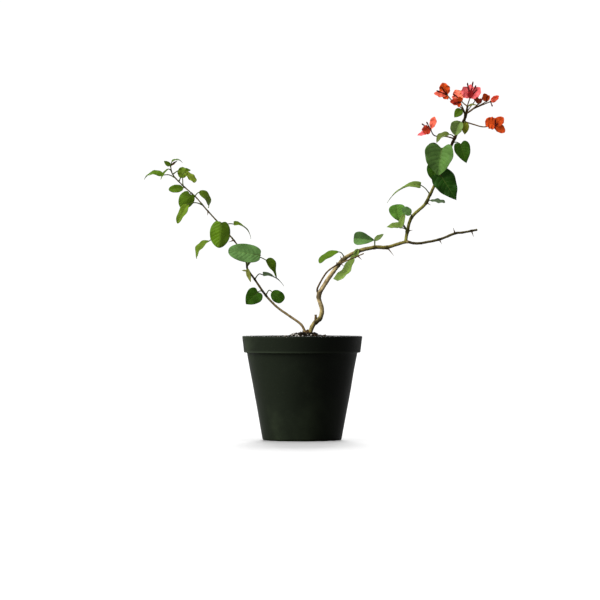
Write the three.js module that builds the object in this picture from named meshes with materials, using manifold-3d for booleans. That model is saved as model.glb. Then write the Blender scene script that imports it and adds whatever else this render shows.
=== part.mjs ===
// A young bougainvillea in a round nursery pot: two thin stems from one root crown, a few dozen
// leaves, and a spray of bracts at the top of the taller stem.
// Millimetres, +Z up, +X right, -Y towards the viewer. The origin is the middle of the pot's underside.
import * as THREE from "three";
import { mergeVertices } from "three/addons/utils/BufferGeometryUtils.js";
import Module from "manifold-3d";

const wasm = await Module();
wasm.setup();

// Driving dimensions of the pot.
const POT_HEIGHT = 156;
const RIM_RADIUS = 90;
const BASE_RADIUS = 59.5;
const COLLAR_HEIGHT = 25;
const COLLAR_FOOT_RADIUS = 87.6;
const WALL_TOP_RADIUS = 82.8;
const WALL = 2.2;
const FLOOR = 3;
const POT_SIDES = 36;
const DRAIN_HOLES = 8;
const DRAIN_RADIUS = 5;
const DRAIN_CIRCLE = 44;

// Driving dimensions of the soil: it is heaped up round the foot of the plant.
const SOIL_EDGE_HEIGHT = 148;
const SOIL_DISH_HEIGHT = 154.5;
const MOUND_HEIGHT = 6;
const MOUND_SPREAD = 22;
const MOUND_X = 5;
const SOIL_LUMP = 1.6;
const SOIL_RINGS = [0.14, 0.3, 0.48, 0.66, 0.84, 1];
const SOIL_SIDES = 32;

// What the plant's parts share.
const GAP = 0.3;
const FINEST = 0.08;
const STALK_RADIUS = 0.85;
const LEAF_THICKNESS = 0.6;
const BRACT_THICKNESS = 0.5;
const TUBE_RADIUS = 0.7;
const LIMB_SIDES = 8;
const STALK_SIDES = 4;
const STEPS_A_SPAN = 2.4;
const BLADE_SIDES = [-1, 0, 1];
const HEART_SIDES = [-1, -0.6, 0, 0.6, 1];
const DEEP_HEART = 0.09;
const LEAF_STATIONS = [0, 0.1, 0.26, 0.46, 0.68, 0.88, 1];
const BRACT_STATIONS = [0, 0.25, 0.65, 1];

const COLOURS = {
  pot: [0x15180f, 0.5],
  soil: [0x241c15, 1],
  bark: [0x8a7448, 0.8],
  greenwood: [0x6f6b35, 0.7],
  leaf: [0x3b6b24, 0.55],
  bract: [0xc43a1e, 0.6],
};

const point = (x, y, z) => new THREE.Vector3(x, y, z);
const radians = THREE.MathUtils.degToRad;

// The limbs, as points [x, y, z] that each follows, with its thickness at both ends. The trunk keeps
// most of its thickness to its upper half.
const LIMBS = {
  trunk: limb(6.6, 4.6, [
    [11, 0, 158], [14.5, 0, 168], [19, 0, 175.5], [27.2, -1, 183], [29.7, -2, 196],
    [25, -4, 214.5], [30, -6, 227], [46.5, -9, 252], [63, -8, 271.5],
    [85.5, -3, 283.5], [109.5, 1, 289], [127, 3, 289], [147, 4, 295], [158, 4, 297.6],
  ], 2.5),
  left: limb(3.9, 1.5, [
    [5, 0, 160], [-1.5, 1, 173], [-20, 6, 186.5], [-37.5, 11, 199], [-54, 14, 216],
    [-72.5, 13, 242.5], [-82, 11, 256], [-84.5, 11, 268], [-97, 16, 292], [-119, 24, 318.5],
    [-144, 33, 346], [-161, 38, 365.7], [-181.4, 40, 384], [-195.6, 41, 399.5], [-199.7, 43, 413.7],
  ]),
  upper: limb(5, 4, [
    [155.5, 4, 297.6], [158, 4, 312], [164.5, 1, 334], [184, -3, 353], [191, -6, 366],
    [198, -8, 381], [215.6, -10, 422.5], [228.4, -16, 452.3], [242, -24, 478.3], [244.8, -28, 490],
  ]),
  bare: limb(4.2, 3.3, [
    [158, 4, 297.6], [168, 8, 295.4], [180, 13, 295.8], [207, 26, 301.3], [231, 38, 310.6],
    [244, 44, 312.3], [265.5, 52, 316.5],
  ]),
  side: limb(3, 1.8, [
    [25, -4, 219], [22.6, -6, 224], [25, -10, 232], [36.8, -16, 251.3], [52, -20.5, 262.5],
    [61.5, -22, 266.5], [75, -23, 272.3], [92.3, -21, 279.5],
  ]),
};

// Heights, or distances right of the pot's axis, at which a limb passes from one sub-part to the next.
const CUTS = {
  leftStem: { z: 211 },
  leftLower: { z: 274 },
  leftMiddle: { z: 336 },
  upperBough: { z: 355 },
  rightMiddle: { z: 432 },
};

// Each leaf grows where its limb reaches a height (z) or a distance from the axis (x).
// stalk is [length, heading, lean] and blade is [length, width, heading, lean], in millimetres and degrees.
// A heading of 0 points right, 90 up and 180 left; lean is how far it points towards the viewer.
// roll turns the upper side clockwise from the viewer, curl bends the blade away from its upper side,
// fold lifts the two halves, twist turns the blade along its length, flap turns only its foot, heart
// sweeps its foot back, blunt rounds its tip off, or draws it out below 0, and slim narrows its foot.
const LEAVES = {
  leftLower: [
    { z: 222, stalk: [12, 178, 48], blade: [26, 26, 227, 5], roll: -8, curl: 12, fold: 10, heart: 0.05 },
    {
      z: 217, stalk: [11, 28, 10], arch: 0.45, blade: [22, 19, 320, 5],
      roll: 8, curl: 22, fold: 10, blunt: 0.5,
    },
    {
      z: 241, stalk: [15, 29, -20], arch: 0.3, blade: [41, 11, 2, -12],
      roll: -66, curl: 62, fold: 26, twist: -24, flap: 28, blunt: -1.2, slim: -0.4,
    },
    { z: 255, stalk: [2.5, 110, 40], blade: [21, 8, 282, 12], roll: 25, curl: 10, fold: 20 },
    { z: 254, stalk: [2, 190, 30], blade: [8.5, 3.2, 172, 10], roll: 30, curl: 15, fold: 10 },
    {
      z: 262, stalk: [31, 36, 35], arch: 0.3, blade: [49, 28, 171, 8],
      roll: 4, curl: 14, fold: 8, blunt: 0.5, slim: -0.25,
    },
    {
      z: 261, stalk: [30.5, 18, -12], arch: 0.3, blade: [36, 22, 309, -10],
      roll: -44, curl: 25, fold: 36, blunt: -0.9,
    },
  ],
  leftMiddle: [
    {
      z: 327, stalk: [10, 350, 64], blade: [38.5, 32, 266, 14],
      roll: -6, curl: 14, fold: -12, heart: 0.05, blunt: 0.35,
    },
    {
      z: 312, stalk: [34, 205, -28], blade: [38, 20, 203, 0],
      roll: 54, curl: 74, fold: 16, slim: 0.7, blunt: 0.1,
    },
    {
      z: 319, stalk: [20, 20, -32], arch: 0.15, blade: [40, 10.5, 3, -8],
      roll: -70, curl: 88, fold: 24, twist: -20, flap: 35, blunt: -0.9, slim: -0.4,
    },
  ],
  leftTip: [
    { z: 367, stalk: [9, 44, -10], blade: [37, 18, 335, -8], roll: -42, curl: 88, fold: 14, blunt: 0.2 },
    {
      z: 372.2, stalk: [5.5, 236, 55], blade: [25, 24, 238, 8],
      roll: -8, curl: 14, fold: -12, heart: 0.08, blunt: 0.3,
    },
    { z: 354, stalk: [23.5, 179, 24], blade: [33.5, 15, 238, 12], roll: 28, curl: 14, fold: 24, blunt: 0.3 },
    { z: 381.2, stalk: [3.5, 230, 35], blade: [22, 13, 184, 10], roll: 12, curl: 14, fold: 14, blunt: 0.4 },
    { z: 383.2, stalk: [11.5, 92, 10], blade: [17, 15, 92, 8], roll: -8, curl: 18, fold: 14, blunt: 0.4 },
    { z: 389.3, stalk: [17.3, 56, 14], blade: [22.5, 11, 324, 0], roll: -26, curl: 22, fold: 12, blunt: 0.6 },
    { z: 400.3, stalk: [17, 22, -10], blade: [12, 7, 2, -5], roll: -20, curl: 10, fold: 12 },
    { z: 395.3, stalk: [20, 169, -10], blade: [34, 13, 149, 5], roll: 62, curl: 98, fold: 12, flap: -35 },
    { z: 405.5, stalk: [6, 150, 25], blade: [20.5, 5.5, 217, 15], roll: 55, curl: 46, fold: 15 },
    { z: 412, stalk: [2, 120, 15], blade: [11.5, 7.5, 143, 12], roll: 0, curl: 15, fold: 18 },
    { z: 412, stalk: [2, 60, -20], blade: [12, 5, 36, -10], roll: -40, curl: -10, fold: 20 },
    { z: 413, stalk: [6.5, 72, 0], blade: [20, 7.5, 44, 0], roll: -62, curl: 104, fold: 12 },
  ],
  trunkLeft: [
    {
      x: 64.2, stalk: [14.5, 136, 15], arch: 0.2, blade: [34, 16, 193, 10],
      roll: 52, curl: 42, fold: 12, blunt: 0.6,
    },
  ],
  trunkMiddle: [
    { x: 84, stalk: [7, 100, 62], blade: [14.5, 9, 251, 5], roll: 20, curl: 12, fold: 14, blunt: 0.3 },
    {
      x: 84, via: [[-0.8, -5.2, 2.7], [-7, -9.6, -5.8]], blade: [50, 25, 259, 4],
      roll: 52, curl: -52, fold: 16, blunt: 0.85,
    },
  ],
  trunkRight: [
    {
      x: 109, stalk: [11, 92, -10], blade: [31.5, 24, 174, 10],
      roll: 10, curl: 18, fold: 30, blunt: 0.62, slim: 0.9,
    },
    { x: 109, stalk: [10.5, 86, -10], blade: [17.5, 9, 42, -14], roll: -30, curl: 16, fold: 14 },
  ],
  bough: [
    { z: 314, stalk: [13, 141, 10], blade: [22, 12, 182, 12], roll: 40, curl: 16, fold: 14 },
    { z: 314, stalk: [15, 161, 34], blade: [25, 10, 74, 2], roll: -20, curl: 12, fold: 14 },
    {
      z: 314, stalk: [20.5, 132, 10], blade: [25, 26, 97, 6],
      roll: -6, curl: 14, fold: 12, blunt: 0.5, slim: 0.7,
    },
  ],
  boughUpper: [
    { z: 334, stalk: [12.5, 112, 68], blade: [16.5, 14, 142, 10], roll: 20, curl: 16, fold: 16, blunt: 0.3 },
  ],
  rightMiddle: [
    {
      z: 368, stalk: [20, 135, 5], arch: 0.1, blade: [61, 12, 174, 8],
      roll: 78, curl: 70, fold: 26, twist: 12, flap: -80, blunt: -0.8, slim: -0.4,
    },
    { z: 359, stalk: [5, 2, 10], blade: [22, 9, 358, 4], roll: -44, curl: 14, fold: 14, blunt: 0.6 },
    {
      z: 388, stalk: [15, 55, 45], blade: [44.5, 35, 303, 3],
      roll: -4, curl: 12, fold: 10, heart: 0.1, blunt: -0.15,
    },
    { z: 404, stalk: [15, 130, -35], blade: [25, 24, 262, -8], roll: 6, curl: 10, fold: 10, heart: 0.06 },
    { z: 429, stalk: [17, 140, 43], blade: [41.5, 52, 261.5, 4], roll: 16, curl: 10, fold: 32, heart: 0.11 },
  ],
  rightTop: [
    {
      z: 446, stalk: [13, 346, 25], blade: [30, 26, 288, 4],
      roll: -6, curl: 14, fold: 18, heart: 0.08, blunt: -0.15,
    },
    { z: 453, stalk: [10, 150, 12], blade: [25, 17, 176, 10], roll: 58, curl: 86, fold: 12, blunt: 0.5 },
    { z: 467, stalk: [13, 93, 42], blade: [22, 25, 249, 6], roll: 18, curl: 14, fold: 38, blunt: 0.3 },
  ],
  blossom: [
    { z: 476, stalk: [6, 340, 60], blade: [18, 13, 268, 0], roll: 0, curl: 12, fold: 25 },
    { z: 485, stalk: [12.8, 125, 25], blade: [16, 13, 229, 10], roll: 4, curl: 12, fold: 14 },
    { z: 488.6, via: [[2.3, -1, 6], [3.8, -2, 11]], blade: [14, 5.5, 26, 10], roll: -50, curl: 55, fold: 16 },
  ],
};

// Thorns stand in the leaf axils: [length, heading, lean].
const THORNS = {
  trunk: [
    { x: 127.5, thorn: [13, 312, 10] },
    { x: 60, thorn: [7, 110, -25] },
  ],
  bare: [
    { x: 207, thorn: [6, 300, 15] },
    { x: 231.5, thorn: [8.5, 107, -10] },
    { x: 257, thorn: [7.5, 290, 5] },
  ],
  side: [
    { x: 52, thorn: [4.5, 95, 20] },
    { x: 57, thorn: [6, 325, 20] },
    { x: 83, thorn: [7, 322, 10] },
  ],
  upper: [
    { z: 313, thorn: [6.5, 20, 10] },
    { z: 356, thorn: [6, 335, 25] },
  ],
  leftMiddle: [{ z: 300, thorn: [8, 196, 20] }],
  leftTip: [{ z: 344, thorn: [5, 262, 15] }],
};

// Each bloom has three bracts round a short receptacle, and slender tubes between them.
// via is the route of its stalk, measured from its limb, and bracts are [length, width, heading, lean,
// roll], some with how slim the foot is and how blunt the tip is.
const BLOOMS = {
  blossom: [
    {
      z: 487.6, via: [[-6, 2, 9], [-19.5, 7, 20], [-27.5, 10, 29.5]],
      bracts: [[20, 11, 178, 6, 22], [19, 18, 108, 2, -22], [8, 12, 232, 10, 10]],
      tubes: [[19, 160, 25], [16, 128, 30], [15, 100, 5]],
    },
    {
      z: 488.6, via: [[2, 2, 10], [-3.7, 5, 16], [-8.7, 5, 22]],
      bracts: [[15, 15, 118, -8, 0], [14, 13, 66, -4, -16], [12, 9, 166, -10, 10]],
      tubes: [[14, 145, 25]],
    },
    {
      z: 487.6, via: [[-5.4, -8, 10], [-8.4, -12, 17]],
      bracts: [[17, 11, 180, 15, 10], [9, 9, 100, 20, 0], [9, 6, 248, 20, 20]],
      tubes: [[13, 190, 35]],
    },
    {
      z: 488.6, via: [[1.8, -3.2, 10], [6, -5.2, 23]],
      bracts: [[20, 17, 126, 10, 12], [21, 15, 86, -25, 0], [22, 17, 42, 10, -12], [16, 10, 86, 40, 4]],
      tubes: [[24, 101, 18], [25.5, 80, 14], [22, 65, 22], [19, 50, 12]],
    },
    {
      z: 487.6, via: [[10.6, -5.4, 7], [18.6, -9.4, 15]],
      bracts: [[11, 7, 112, 20, 15], [10, 7, 62, 30, -10]],
      tubes: [],
    },
    {
      z: 487.6, via: [[11.6, -1.4, 8.5], [22.6, -1, 14], [31, 1, 19]],
      bracts: [[13, 11, 108, 15, 6], [10, 7, 62, 5, -25]],
      tubes: [[10, 84, 20]],
    },
    {
      z: 487.6, via: [[11.6, 5, 8], [24.6, 10, 14], [38, 14, 19.5]],
      bracts: [[15, 9, 32, 5, -15], [10, 6, 20, 20, 20]],
      tubes: [[8, 290, 10]],
    },
    {
      z: 477, via: [[13.7, -4.4, -4.5], [29.7, -10.4, -8.8], [46.5, -14.4, -5.5]],
      bracts: [
        [16, 20, 167, 6, 16, -0.75, 0.5],
        [16, 15, 38, 6, -6, -0.4, 0.2],
        [18, 14, 320, -12, -6, -0.4, 0.2],
      ],
      tubes: [[9, 92, 40], [9, 262, 45], [8, 10, 60]],
    },
  ],
  rightTop: [
    {
      z: 451.5, via: [[-12.6, 12, 4], [-29, 12, 5], [-35.2, 7, 13.5]],
      bracts: [[21, 11, 71, 10, -15, 0.7], [16, 15, 184, 24, 10], [22, 8, 207, 5, 25]],
      tubes: [[17, 146, 12], [14, 118, 10]],
    },
  ],
};

// Closed buds: the route of each stalk, measured from its limb, ending where the bud stands.
const BUDS = {
  blossom: [
    { z: 487.6, via: [[11.6, -6.4, 9], [20.6, -11.4, 17]], bud: [7, 60, 20] },
    { z: 488.6, via: [[9.3, 3, 13], [14.3, 8, 19]], bud: [8, 95, -10] },
  ],
};

// The unit vector of a heading in the picture's plane and a lean towards the viewer, in degrees.
function direction(heading, lean = 0) {
  const h = radians(heading);
  const l = radians(lean);
  return point(Math.cos(h) * Math.cos(l), -Math.sin(l), Math.sin(h) * Math.cos(l));
}

function limb(startThickness, endThickness, places, taper = 1) {
  const route = places.map((place) => point(...place));
  const curve = new THREE.CatmullRomCurve3(route, false, "catmullrom", 0.5);
  return { curve, startThickness, endThickness, taper, spans: places.length - 1 };
}

// The share of a limb's route, from 0 to 1, at which it reaches a height or a distance from the axis.
function shareAt(stem, place) {
  const key = "z" in place ? "z" : "x";
  const fine = stem.spans * 20;
  for (let i = 1; i <= fine; i++) {
    const before = stem.curve.getPoint((i - 1) / fine)[key];
    const after = stem.curve.getPoint(i / fine)[key];
    if ((before - place[key]) * (after - place[key]) <= 0)
      return (i - 1 + (place[key] - before) / (after - before)) / fine;
  }
  throw new Error("a limb never reaches " + key + " = " + place[key]);
}

const thicknessAt = (stem, share) =>
  stem.startThickness + (stem.endThickness - stem.startThickness) * share ** stem.taper;

// A closed solid from a geometry with one closed surface, turned to face out.
function solidOf(geometry) {
  geometry.deleteAttribute("normal");
  geometry.deleteAttribute("uv");
  const merged = mergeVertices(geometry, 1e-4);
  const build = (triVerts) =>
    new wasm.Manifold(
      new wasm.Mesh({
        numProp: 3,
        vertProperties: new Float32Array(merged.attributes.position.array),
        triVerts,
      }),
    );
  const triangles = new Uint32Array(merged.index.array);
  const made = build(triangles);
  return made.volume() > 0 ? made : build(triangles.reverse());
}

function geometryOf(places, faces) {
  const geometry = new THREE.BufferGeometry();
  geometry.setAttribute("position", new THREE.Float32BufferAttribute(places.flat(), 3));
  geometry.setIndex(faces.flat());
  return geometry;
}

// A tapering round bar along places, where tangents give the way that each ring faces.
function bar(places, tangents, radii, sides) {
  const vertices = [];
  const faces = [];
  let across = Math.abs(tangents[0].y) < 0.9 ? point(0, 1, 0) : point(1, 0, 0);
  places.forEach((place, ring) => {
    const along = tangents[ring];
    across = across.clone().addScaledVector(along, -across.dot(along)).normalize();
    const over = along.clone().cross(across);
    for (let side = 0; side < sides; side++) {
      const turn = (side / sides) * 2 * Math.PI;
      const out = across.clone().multiplyScalar(Math.cos(turn)).addScaledVector(over, Math.sin(turn));
      vertices.push(place.clone().addScaledVector(out, radii[ring]).toArray());
    }
  });
  const last = places.length - 1;
  for (let ring = 0; ring < last; ring++)
    for (let side = 0; side < sides; side++) {
      const a = ring * sides + side;
      const b = ring * sides + ((side + 1) % sides);
      faces.push([a, b, b + sides], [a, b + sides, a + sides]);
    }
  const foot = vertices.push(places[0].toArray()) - 1;
  const head = vertices.push(places[last].toArray()) - 1;
  for (let side = 0; side < sides; side++) {
    const next = (side + 1) % sides;
    faces.push([foot, next, side], [head, last * sides + side, last * sides + next]);
  }
  return solidOf(geometryOf(vertices, faces));
}

// A stretch of a limb between two places on it, drawn back half a gap at each cut, and grown if asked.
function stretch(stem, from, to, grown = 0) {
  const length = stem.curve.getLength();
  const start = from ? shareAt(stem, from) + GAP / 2 / length : 0;
  const end = to ? shareAt(stem, to) - GAP / 2 / length : 1;
  const steps = Math.max(2, Math.round((end - start) * stem.spans * STEPS_A_SPAN));
  const shares = Array.from({ length: steps + 1 }, (_, i) => start + ((end - start) * i) / steps);
  return bar(
    shares.map((share) => stem.curve.getPoint(share)),
    shares.map((share) => stem.curve.getTangent(share)),
    shares.map((share) => thicknessAt(stem, share) / 2 + grown),
    LIMB_SIDES,
  );
}

// A thin stalk along a route, tapering from one radius to another.
function stalkAlong(route, startRadius, endRadius, steps) {
  const curve = new THREE.CatmullRomCurve3(route, false, "catmullrom", 0.5);
  const shares = Array.from({ length: steps + 1 }, (_, i) => i / steps);
  return bar(
    shares.map((share) => curve.getPoint(share)),
    shares.map((share) => curve.getTangent(share)),
    shares.map((share) => THREE.MathUtils.lerp(startRadius, endRadius, share)),
    STALK_SIDES,
  );
}

// A place on a blade: share runs from its foot to its tip and side from -1 to 1, over the midrib at 0.
function bladePlace(foot, shape, share, side) {
  const [length, width, heading, lean] = shape.blade;
  const ahead = direction(heading, lean);
  const viewer = point(0, -1, 0);
  const facing = viewer.addScaledVector(ahead, -viewer.dot(ahead)).normalize();
  facing.applyAxisAngle(ahead, radians(shape.roll));
  const lobe = 1.35 * Math.sin(0.75 * Math.PI * Math.abs(side)) ** 1.3;
  const swept = share - (shape.heart || 0) * lobe * (1 - share) ** 2;
  const bend = radians(shape.curl) || 1e-6;
  const here = foot
    .clone()
    .addScaledVector(ahead, (length * Math.sin(bend * swept)) / bend)
    .addScaledVector(facing, (-length * (1 - Math.cos(bend * swept))) / bend);
  const along = ahead.clone().multiplyScalar(Math.cos(bend * swept));
  along.addScaledVector(facing, -Math.sin(bend * swept));
  const up = facing.clone().multiplyScalar(Math.cos(bend * swept));
  up.addScaledVector(ahead, Math.sin(bend * swept));
  const turn = (shape.twist || 0) * share + (shape.flap || 0) * (1 - share) ** 3;
  up.applyAxisAngle(along, radians(turn));
  const across = along.clone().cross(up);
  const half = Math.max(0.2, (width / 2) * outline(share, shape));
  const fold = radians(shape.fold || 0);
  here.addScaledVector(across, side * half * Math.cos(fold));
  here.addScaledVector(up, Math.abs(side) * half * Math.sin(fold));
  return { here, up };
}

// An egg-shaped blade's half width as a share of its widest: blunt at the foot, drawn out at the tip.
function outline(share, shape) {
  const footPower = (shape.bract ? 0.62 : 0.5) + 0.6 * (shape.slim || 0);
  const tipPower = (shape.bract ? 0.72 : 0.92) * (1 - (shape.blunt || 0));
  const offset = shape.heart ? 0.06 + 0.6 * shape.heart : 0.02;
  const at = (s) => (s + offset) ** footPower * (1 - s) ** tipPower;
  const widest = (footPower - tipPower * offset) / (footPower + tipPower);
  return at(share) / at(widest);
}

// A blade's solid: an upper and a lower skin over the same places, joined round the edge.
function bladeSolid(foot, shape, stations, thickness) {
  const sides = shape.heart > DEEP_HEART ? HEART_SIDES : BLADE_SIDES;
  const vertices = [];
  for (const skin of [0.5, -0.5])
    for (const share of stations)
      for (const side of sides) {
        const { here, up } = bladePlace(foot, shape, share, side);
        vertices.push(here.addScaledVector(up, skin * thickness).toArray());
      }
  const wide = sides.length;
  const skinSize = stations.length * wide;
  const rows = stations.length - 1;
  const faces = [];
  const quad = (a, b, c, d) => faces.push([a, b, c], [a, c, d]);
  for (let row = 0; row < rows; row++)
    for (let column = 0; column < wide - 1; column++) {
      const a = row * wide + column;
      quad(a, a + 1, a + 1 + wide, a + wide);
      const b = a + skinSize;
      quad(b + wide, b + 1 + wide, b + 1, b);
    }
  for (let row = 0; row < rows; row++)
    for (const edge of [0, wide - 1]) {
      const a = row * wide + edge;
      const ring = [a, a + wide, a + wide + skinSize, a + skinSize];
      quad(...(edge ? ring.reverse() : ring));
    }
  for (const row of [0, rows])
    for (let column = 0; column < wide - 1; column++) {
      const a = row * wide + column;
      const ring = [a, a + skinSize, a + 1 + skinSize, a + 1];
      quad(...(row ? ring.reverse() : ring));
    }
  return solidOf(geometryOf(vertices, faces));
}

// A leaf is a stalk that arches out of its limb, and a blade whose midrib the stalk runs on into.
function leafSolids(stem, shape) {
  const root = stem.curve.getPoint(shareAt(stem, shape));
  const route = [root];
  if (shape.via) route.push(...shape.via.map((step) => root.clone().add(point(...step))));
  else {
    const [length, heading, lean] = shape.stalk;
    const foot = root.clone().addScaledVector(direction(heading, lean), length);
    const middle = root.clone().lerp(foot, 0.5);
    middle.z += (shape.arch ?? 0.12) * length;
    route.push(middle, foot);
  }
  const foot = route[route.length - 1];
  route.push(bladePlace(foot, shape, 0.08, 0).here);
  return [
    stalkAlong(route, STALK_RADIUS * 1.15, STALK_RADIUS * 0.8, route.length),
    bladeSolid(foot, shape, LEAF_STATIONS, LEAF_THICKNESS),
  ];
}

function spike(foot, [length, heading, lean], startRadius, endRadius) {
  const tip = foot.clone().addScaledVector(direction(heading, lean), length);
  return stalkAlong([foot, tip], startRadius, endRadius, 1);
}

function thornSolid(stem, { thorn, ...place }) {
  const share = shareAt(stem, place);
  const foot = stem.curve.getPoint(share);
  const reach = thicknessAt(stem, share) / 2 + thorn[0];
  return spike(foot, [reach, thorn[1], thorn[2]], 1.1, 0.25);
}

function bloomSolids(stem, bloom) {
  const root = stem.curve.getPoint(shareAt(stem, bloom));
  const route = [root, ...bloom.via.map((step) => root.clone().add(point(...step)))];
  const foot = route[route.length - 1];
  const receptacle = new THREE.OctahedronGeometry(2.2, 0).translate(foot.x, foot.y, foot.z);
  const bracts = bloom.bracts.map(([length, width, heading, lean, roll, slim, blunt]) => {
    const blade = [length, width, heading, lean];
    const shape = { blade, roll, curl: -18, fold: 14, bract: true, slim, blunt };
    return bladeSolid(foot, shape, BRACT_STATIONS, BRACT_THICKNESS);
  });
  const tubes = bloom.tubes.map((tube) => spike(foot, tube, TUBE_RADIUS, TUBE_RADIUS * 1.5));
  const stalk = stalkAlong(route, STALK_RADIUS, STALK_RADIUS * 0.8, route.length);
  return [stalk, solidOf(receptacle), ...bracts, ...tubes];
}

function budSolids(stem, bud) {
  const root = stem.curve.getPoint(shareAt(stem, bud));
  const route = [root, ...bud.via.map((step) => root.clone().add(point(...step)))];
  const foot = route[route.length - 1];
  return [
    stalkAlong(route, STALK_RADIUS, STALK_RADIUS * 0.8, route.length),
    spike(foot, bud.bud, 1.7, 0.7),
  ];
}

// Everything that grows on one stretch of a limb, under one name in the tables above.
function growth(name, stem) {
  return [
    ...(LEAVES[name] || []).flatMap((shape) => leafSolids(stem, shape)),
    ...(THORNS[name] || []).map((shape) => thornSolid(stem, shape)),
    ...(BLOOMS[name] || []).flatMap((shape) => bloomSolids(stem, shape)),
    ...(BUDS[name] || []).flatMap((shape) => budSolids(stem, shape)),
  ];
}

const join = (solids) => solids.reduce((whole, piece) => whole.add(piece));

// The largest body of a solid once it is cut clear of its neighbours.
function clearOf(solid, neighbours) {
  const cut = neighbours.reduce((rest, neighbour) => rest.subtract(neighbour), solid);
  return cut.decompose().reduce((best, body) => (body.volume() > best.volume() ? body : best));
}

const group = new THREE.Group();

function addMesh(name, solid, colour) {
  const made = clearOf(solid.simplify(FINEST), []).getMesh();
  const geometry = new THREE.BufferGeometry();
  geometry.setAttribute("position", new THREE.Float32BufferAttribute(made.vertProperties, 3));
  geometry.setIndex(Array.from(made.triVerts));
  geometry.computeVertexNormals();
  const [color, roughness] = COLOURS[colour];
  const mesh = new THREE.Mesh(geometry, new THREE.MeshStandardMaterial({ color, roughness, metalness: 0 }));
  mesh.name = name;
  group.add(mesh);
}

function latheSolid(profile, sides) {
  const points = profile.map(([radius, height]) => new THREE.Vector2(radius, height));
  return solidOf(new THREE.LatheGeometry(points, sides).rotateX(Math.PI / 2));
}

// The pot: a tapering wall, a collar round its top, and a floor with drain holes near its edge.
function potSolid() {
  const collarFoot = POT_HEIGHT - COLLAR_HEIGHT;
  const cup = latheSolid(
    [
      [0, 0],
      [BASE_RADIUS - 1.5, 0],
      [BASE_RADIUS, 1.5],
      [WALL_TOP_RADIUS, collarFoot - 1],
      [COLLAR_FOOT_RADIUS - 1.4, collarFoot],
      [COLLAR_FOOT_RADIUS, collarFoot + 1.6],
      [RIM_RADIUS - 0.8, POT_HEIGHT - 1.6],
      [RIM_RADIUS, POT_HEIGHT - 1],
      [RIM_RADIUS - 0.6, POT_HEIGHT],
      [RIM_RADIUS - WALL, POT_HEIGHT],
      [COLLAR_FOOT_RADIUS - WALL, collarFoot + 4],
      [WALL_TOP_RADIUS - WALL, collarFoot + 1],
      [BASE_RADIUS - WALL + 0.4, FLOOR],
      [0, FLOOR],
    ],
    POT_SIDES,
  );
  const drain = new THREE.CylinderGeometry(DRAIN_RADIUS, DRAIN_RADIUS, 4 * FLOOR, 8).rotateX(Math.PI / 2);
  const holes = Array.from({ length: DRAIN_HOLES }, (_, i) => {
    const turn = (i / DRAIN_HOLES) * 2 * Math.PI;
    const hole = drain.clone().translate(DRAIN_CIRCLE * Math.cos(turn), DRAIN_CIRCLE * Math.sin(turn), 0);
    return solidOf(hole);
  });
  return clearOf(cup, holes);
}

// The soil fills the pot just clear of its wall, and its top is heaped and lumpy.
function soilSolid() {
  const collarFoot = POT_HEIGHT - COLLAR_HEIGHT;
  const clear = WALL + GAP + 0.3;
  const slope = (COLLAR_FOOT_RADIUS - RIM_RADIUS) / COLLAR_HEIGHT;
  const edgeRadius = RIM_RADIUS - clear + slope * (POT_HEIGHT - SOIL_EDGE_HEIGHT) - 0.3;
  const wall = [
    [BASE_RADIUS - clear, FLOOR + GAP],
    [WALL_TOP_RADIUS - clear, collarFoot + 1],
    [COLLAR_FOOT_RADIUS - clear, collarFoot + 5],
  ];
  const lump = (radius, turn) =>
    SOIL_LUMP * Math.sin(0.21 * radius + 3 * turn) * Math.cos(0.17 * radius - 5 * turn + 1);
  const heaped = (share, radius, turn) => {
    const dish = (1 - share * share) * (SOIL_DISH_HEIGHT - SOIL_EDGE_HEIGHT);
    const away = Math.hypot(radius * Math.cos(turn) - MOUND_X, radius * Math.sin(turn));
    return SOIL_EDGE_HEIGHT + dish + MOUND_HEIGHT * Math.exp(-((away / MOUND_SPREAD) ** 2));
  };
  const rings = [
    ...wall.map(([radius, height]) => () => [radius, height]),
    ...[...SOIL_RINGS].reverse().map((share) => (turn) => {
      const radius = share * edgeRadius;
      const bump = share < 1 ? lump(radius, turn) : 0;
      return [radius, heaped(share, radius, turn) + bump];
    }),
  ];
  const vertices = [];
  const faces = [];
  for (const ring of rings)
    for (let side = 0; side < SOIL_SIDES; side++) {
      const turn = (side / SOIL_SIDES) * 2 * Math.PI;
      const [radius, height] = ring(turn);
      vertices.push([radius * Math.cos(turn), radius * Math.sin(turn), height]);
    }
  for (let ring = 0; ring < rings.length - 1; ring++)
    for (let side = 0; side < SOIL_SIDES; side++) {
      const a = ring * SOIL_SIDES + side;
      const b = ring * SOIL_SIDES + ((side + 1) % SOIL_SIDES);
      faces.push([a, b, b + SOIL_SIDES], [a, b + SOIL_SIDES, a + SOIL_SIDES]);
    }
  const under = vertices.push([0, 0, FLOOR + GAP]) - 1;
  const top = vertices.push([0, 0, heaped(0, 0, 0)]) - 1;
  const lastRing = (rings.length - 1) * SOIL_SIDES;
  for (let side = 0; side < SOIL_SIDES; side++) {
    const next = (side + 1) % SOIL_SIDES;
    faces.push([under, next, side], [top, lastRing + side, lastRing + next]);
  }
  return solidOf(geometryOf(vertices, faces));
}

// The root crown that both stems rise from: a flared foot with a flat cut at ground level.
function crownSolid(grown = 0) {
  const profile = [
    [0, 157.4], [8.6, 157.4], [8, 160.4], [6.2, 163], [3.6, 165], [0, 165.6],
  ];
  const flared = profile.map(([radius, height], i) => [
    radius ? radius + grown : 0,
    height + (i < 2 ? -grown : grown),
  ]);
  const turned = new THREE.LatheGeometry(
    flared.map(([radius, height]) => new THREE.Vector2(radius, height)),
    12,
  );
  return solidOf(turned.rotateX(Math.PI / 2).scale(1, 0.75, 1).translate(8.6, 0, 0));
}

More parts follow.
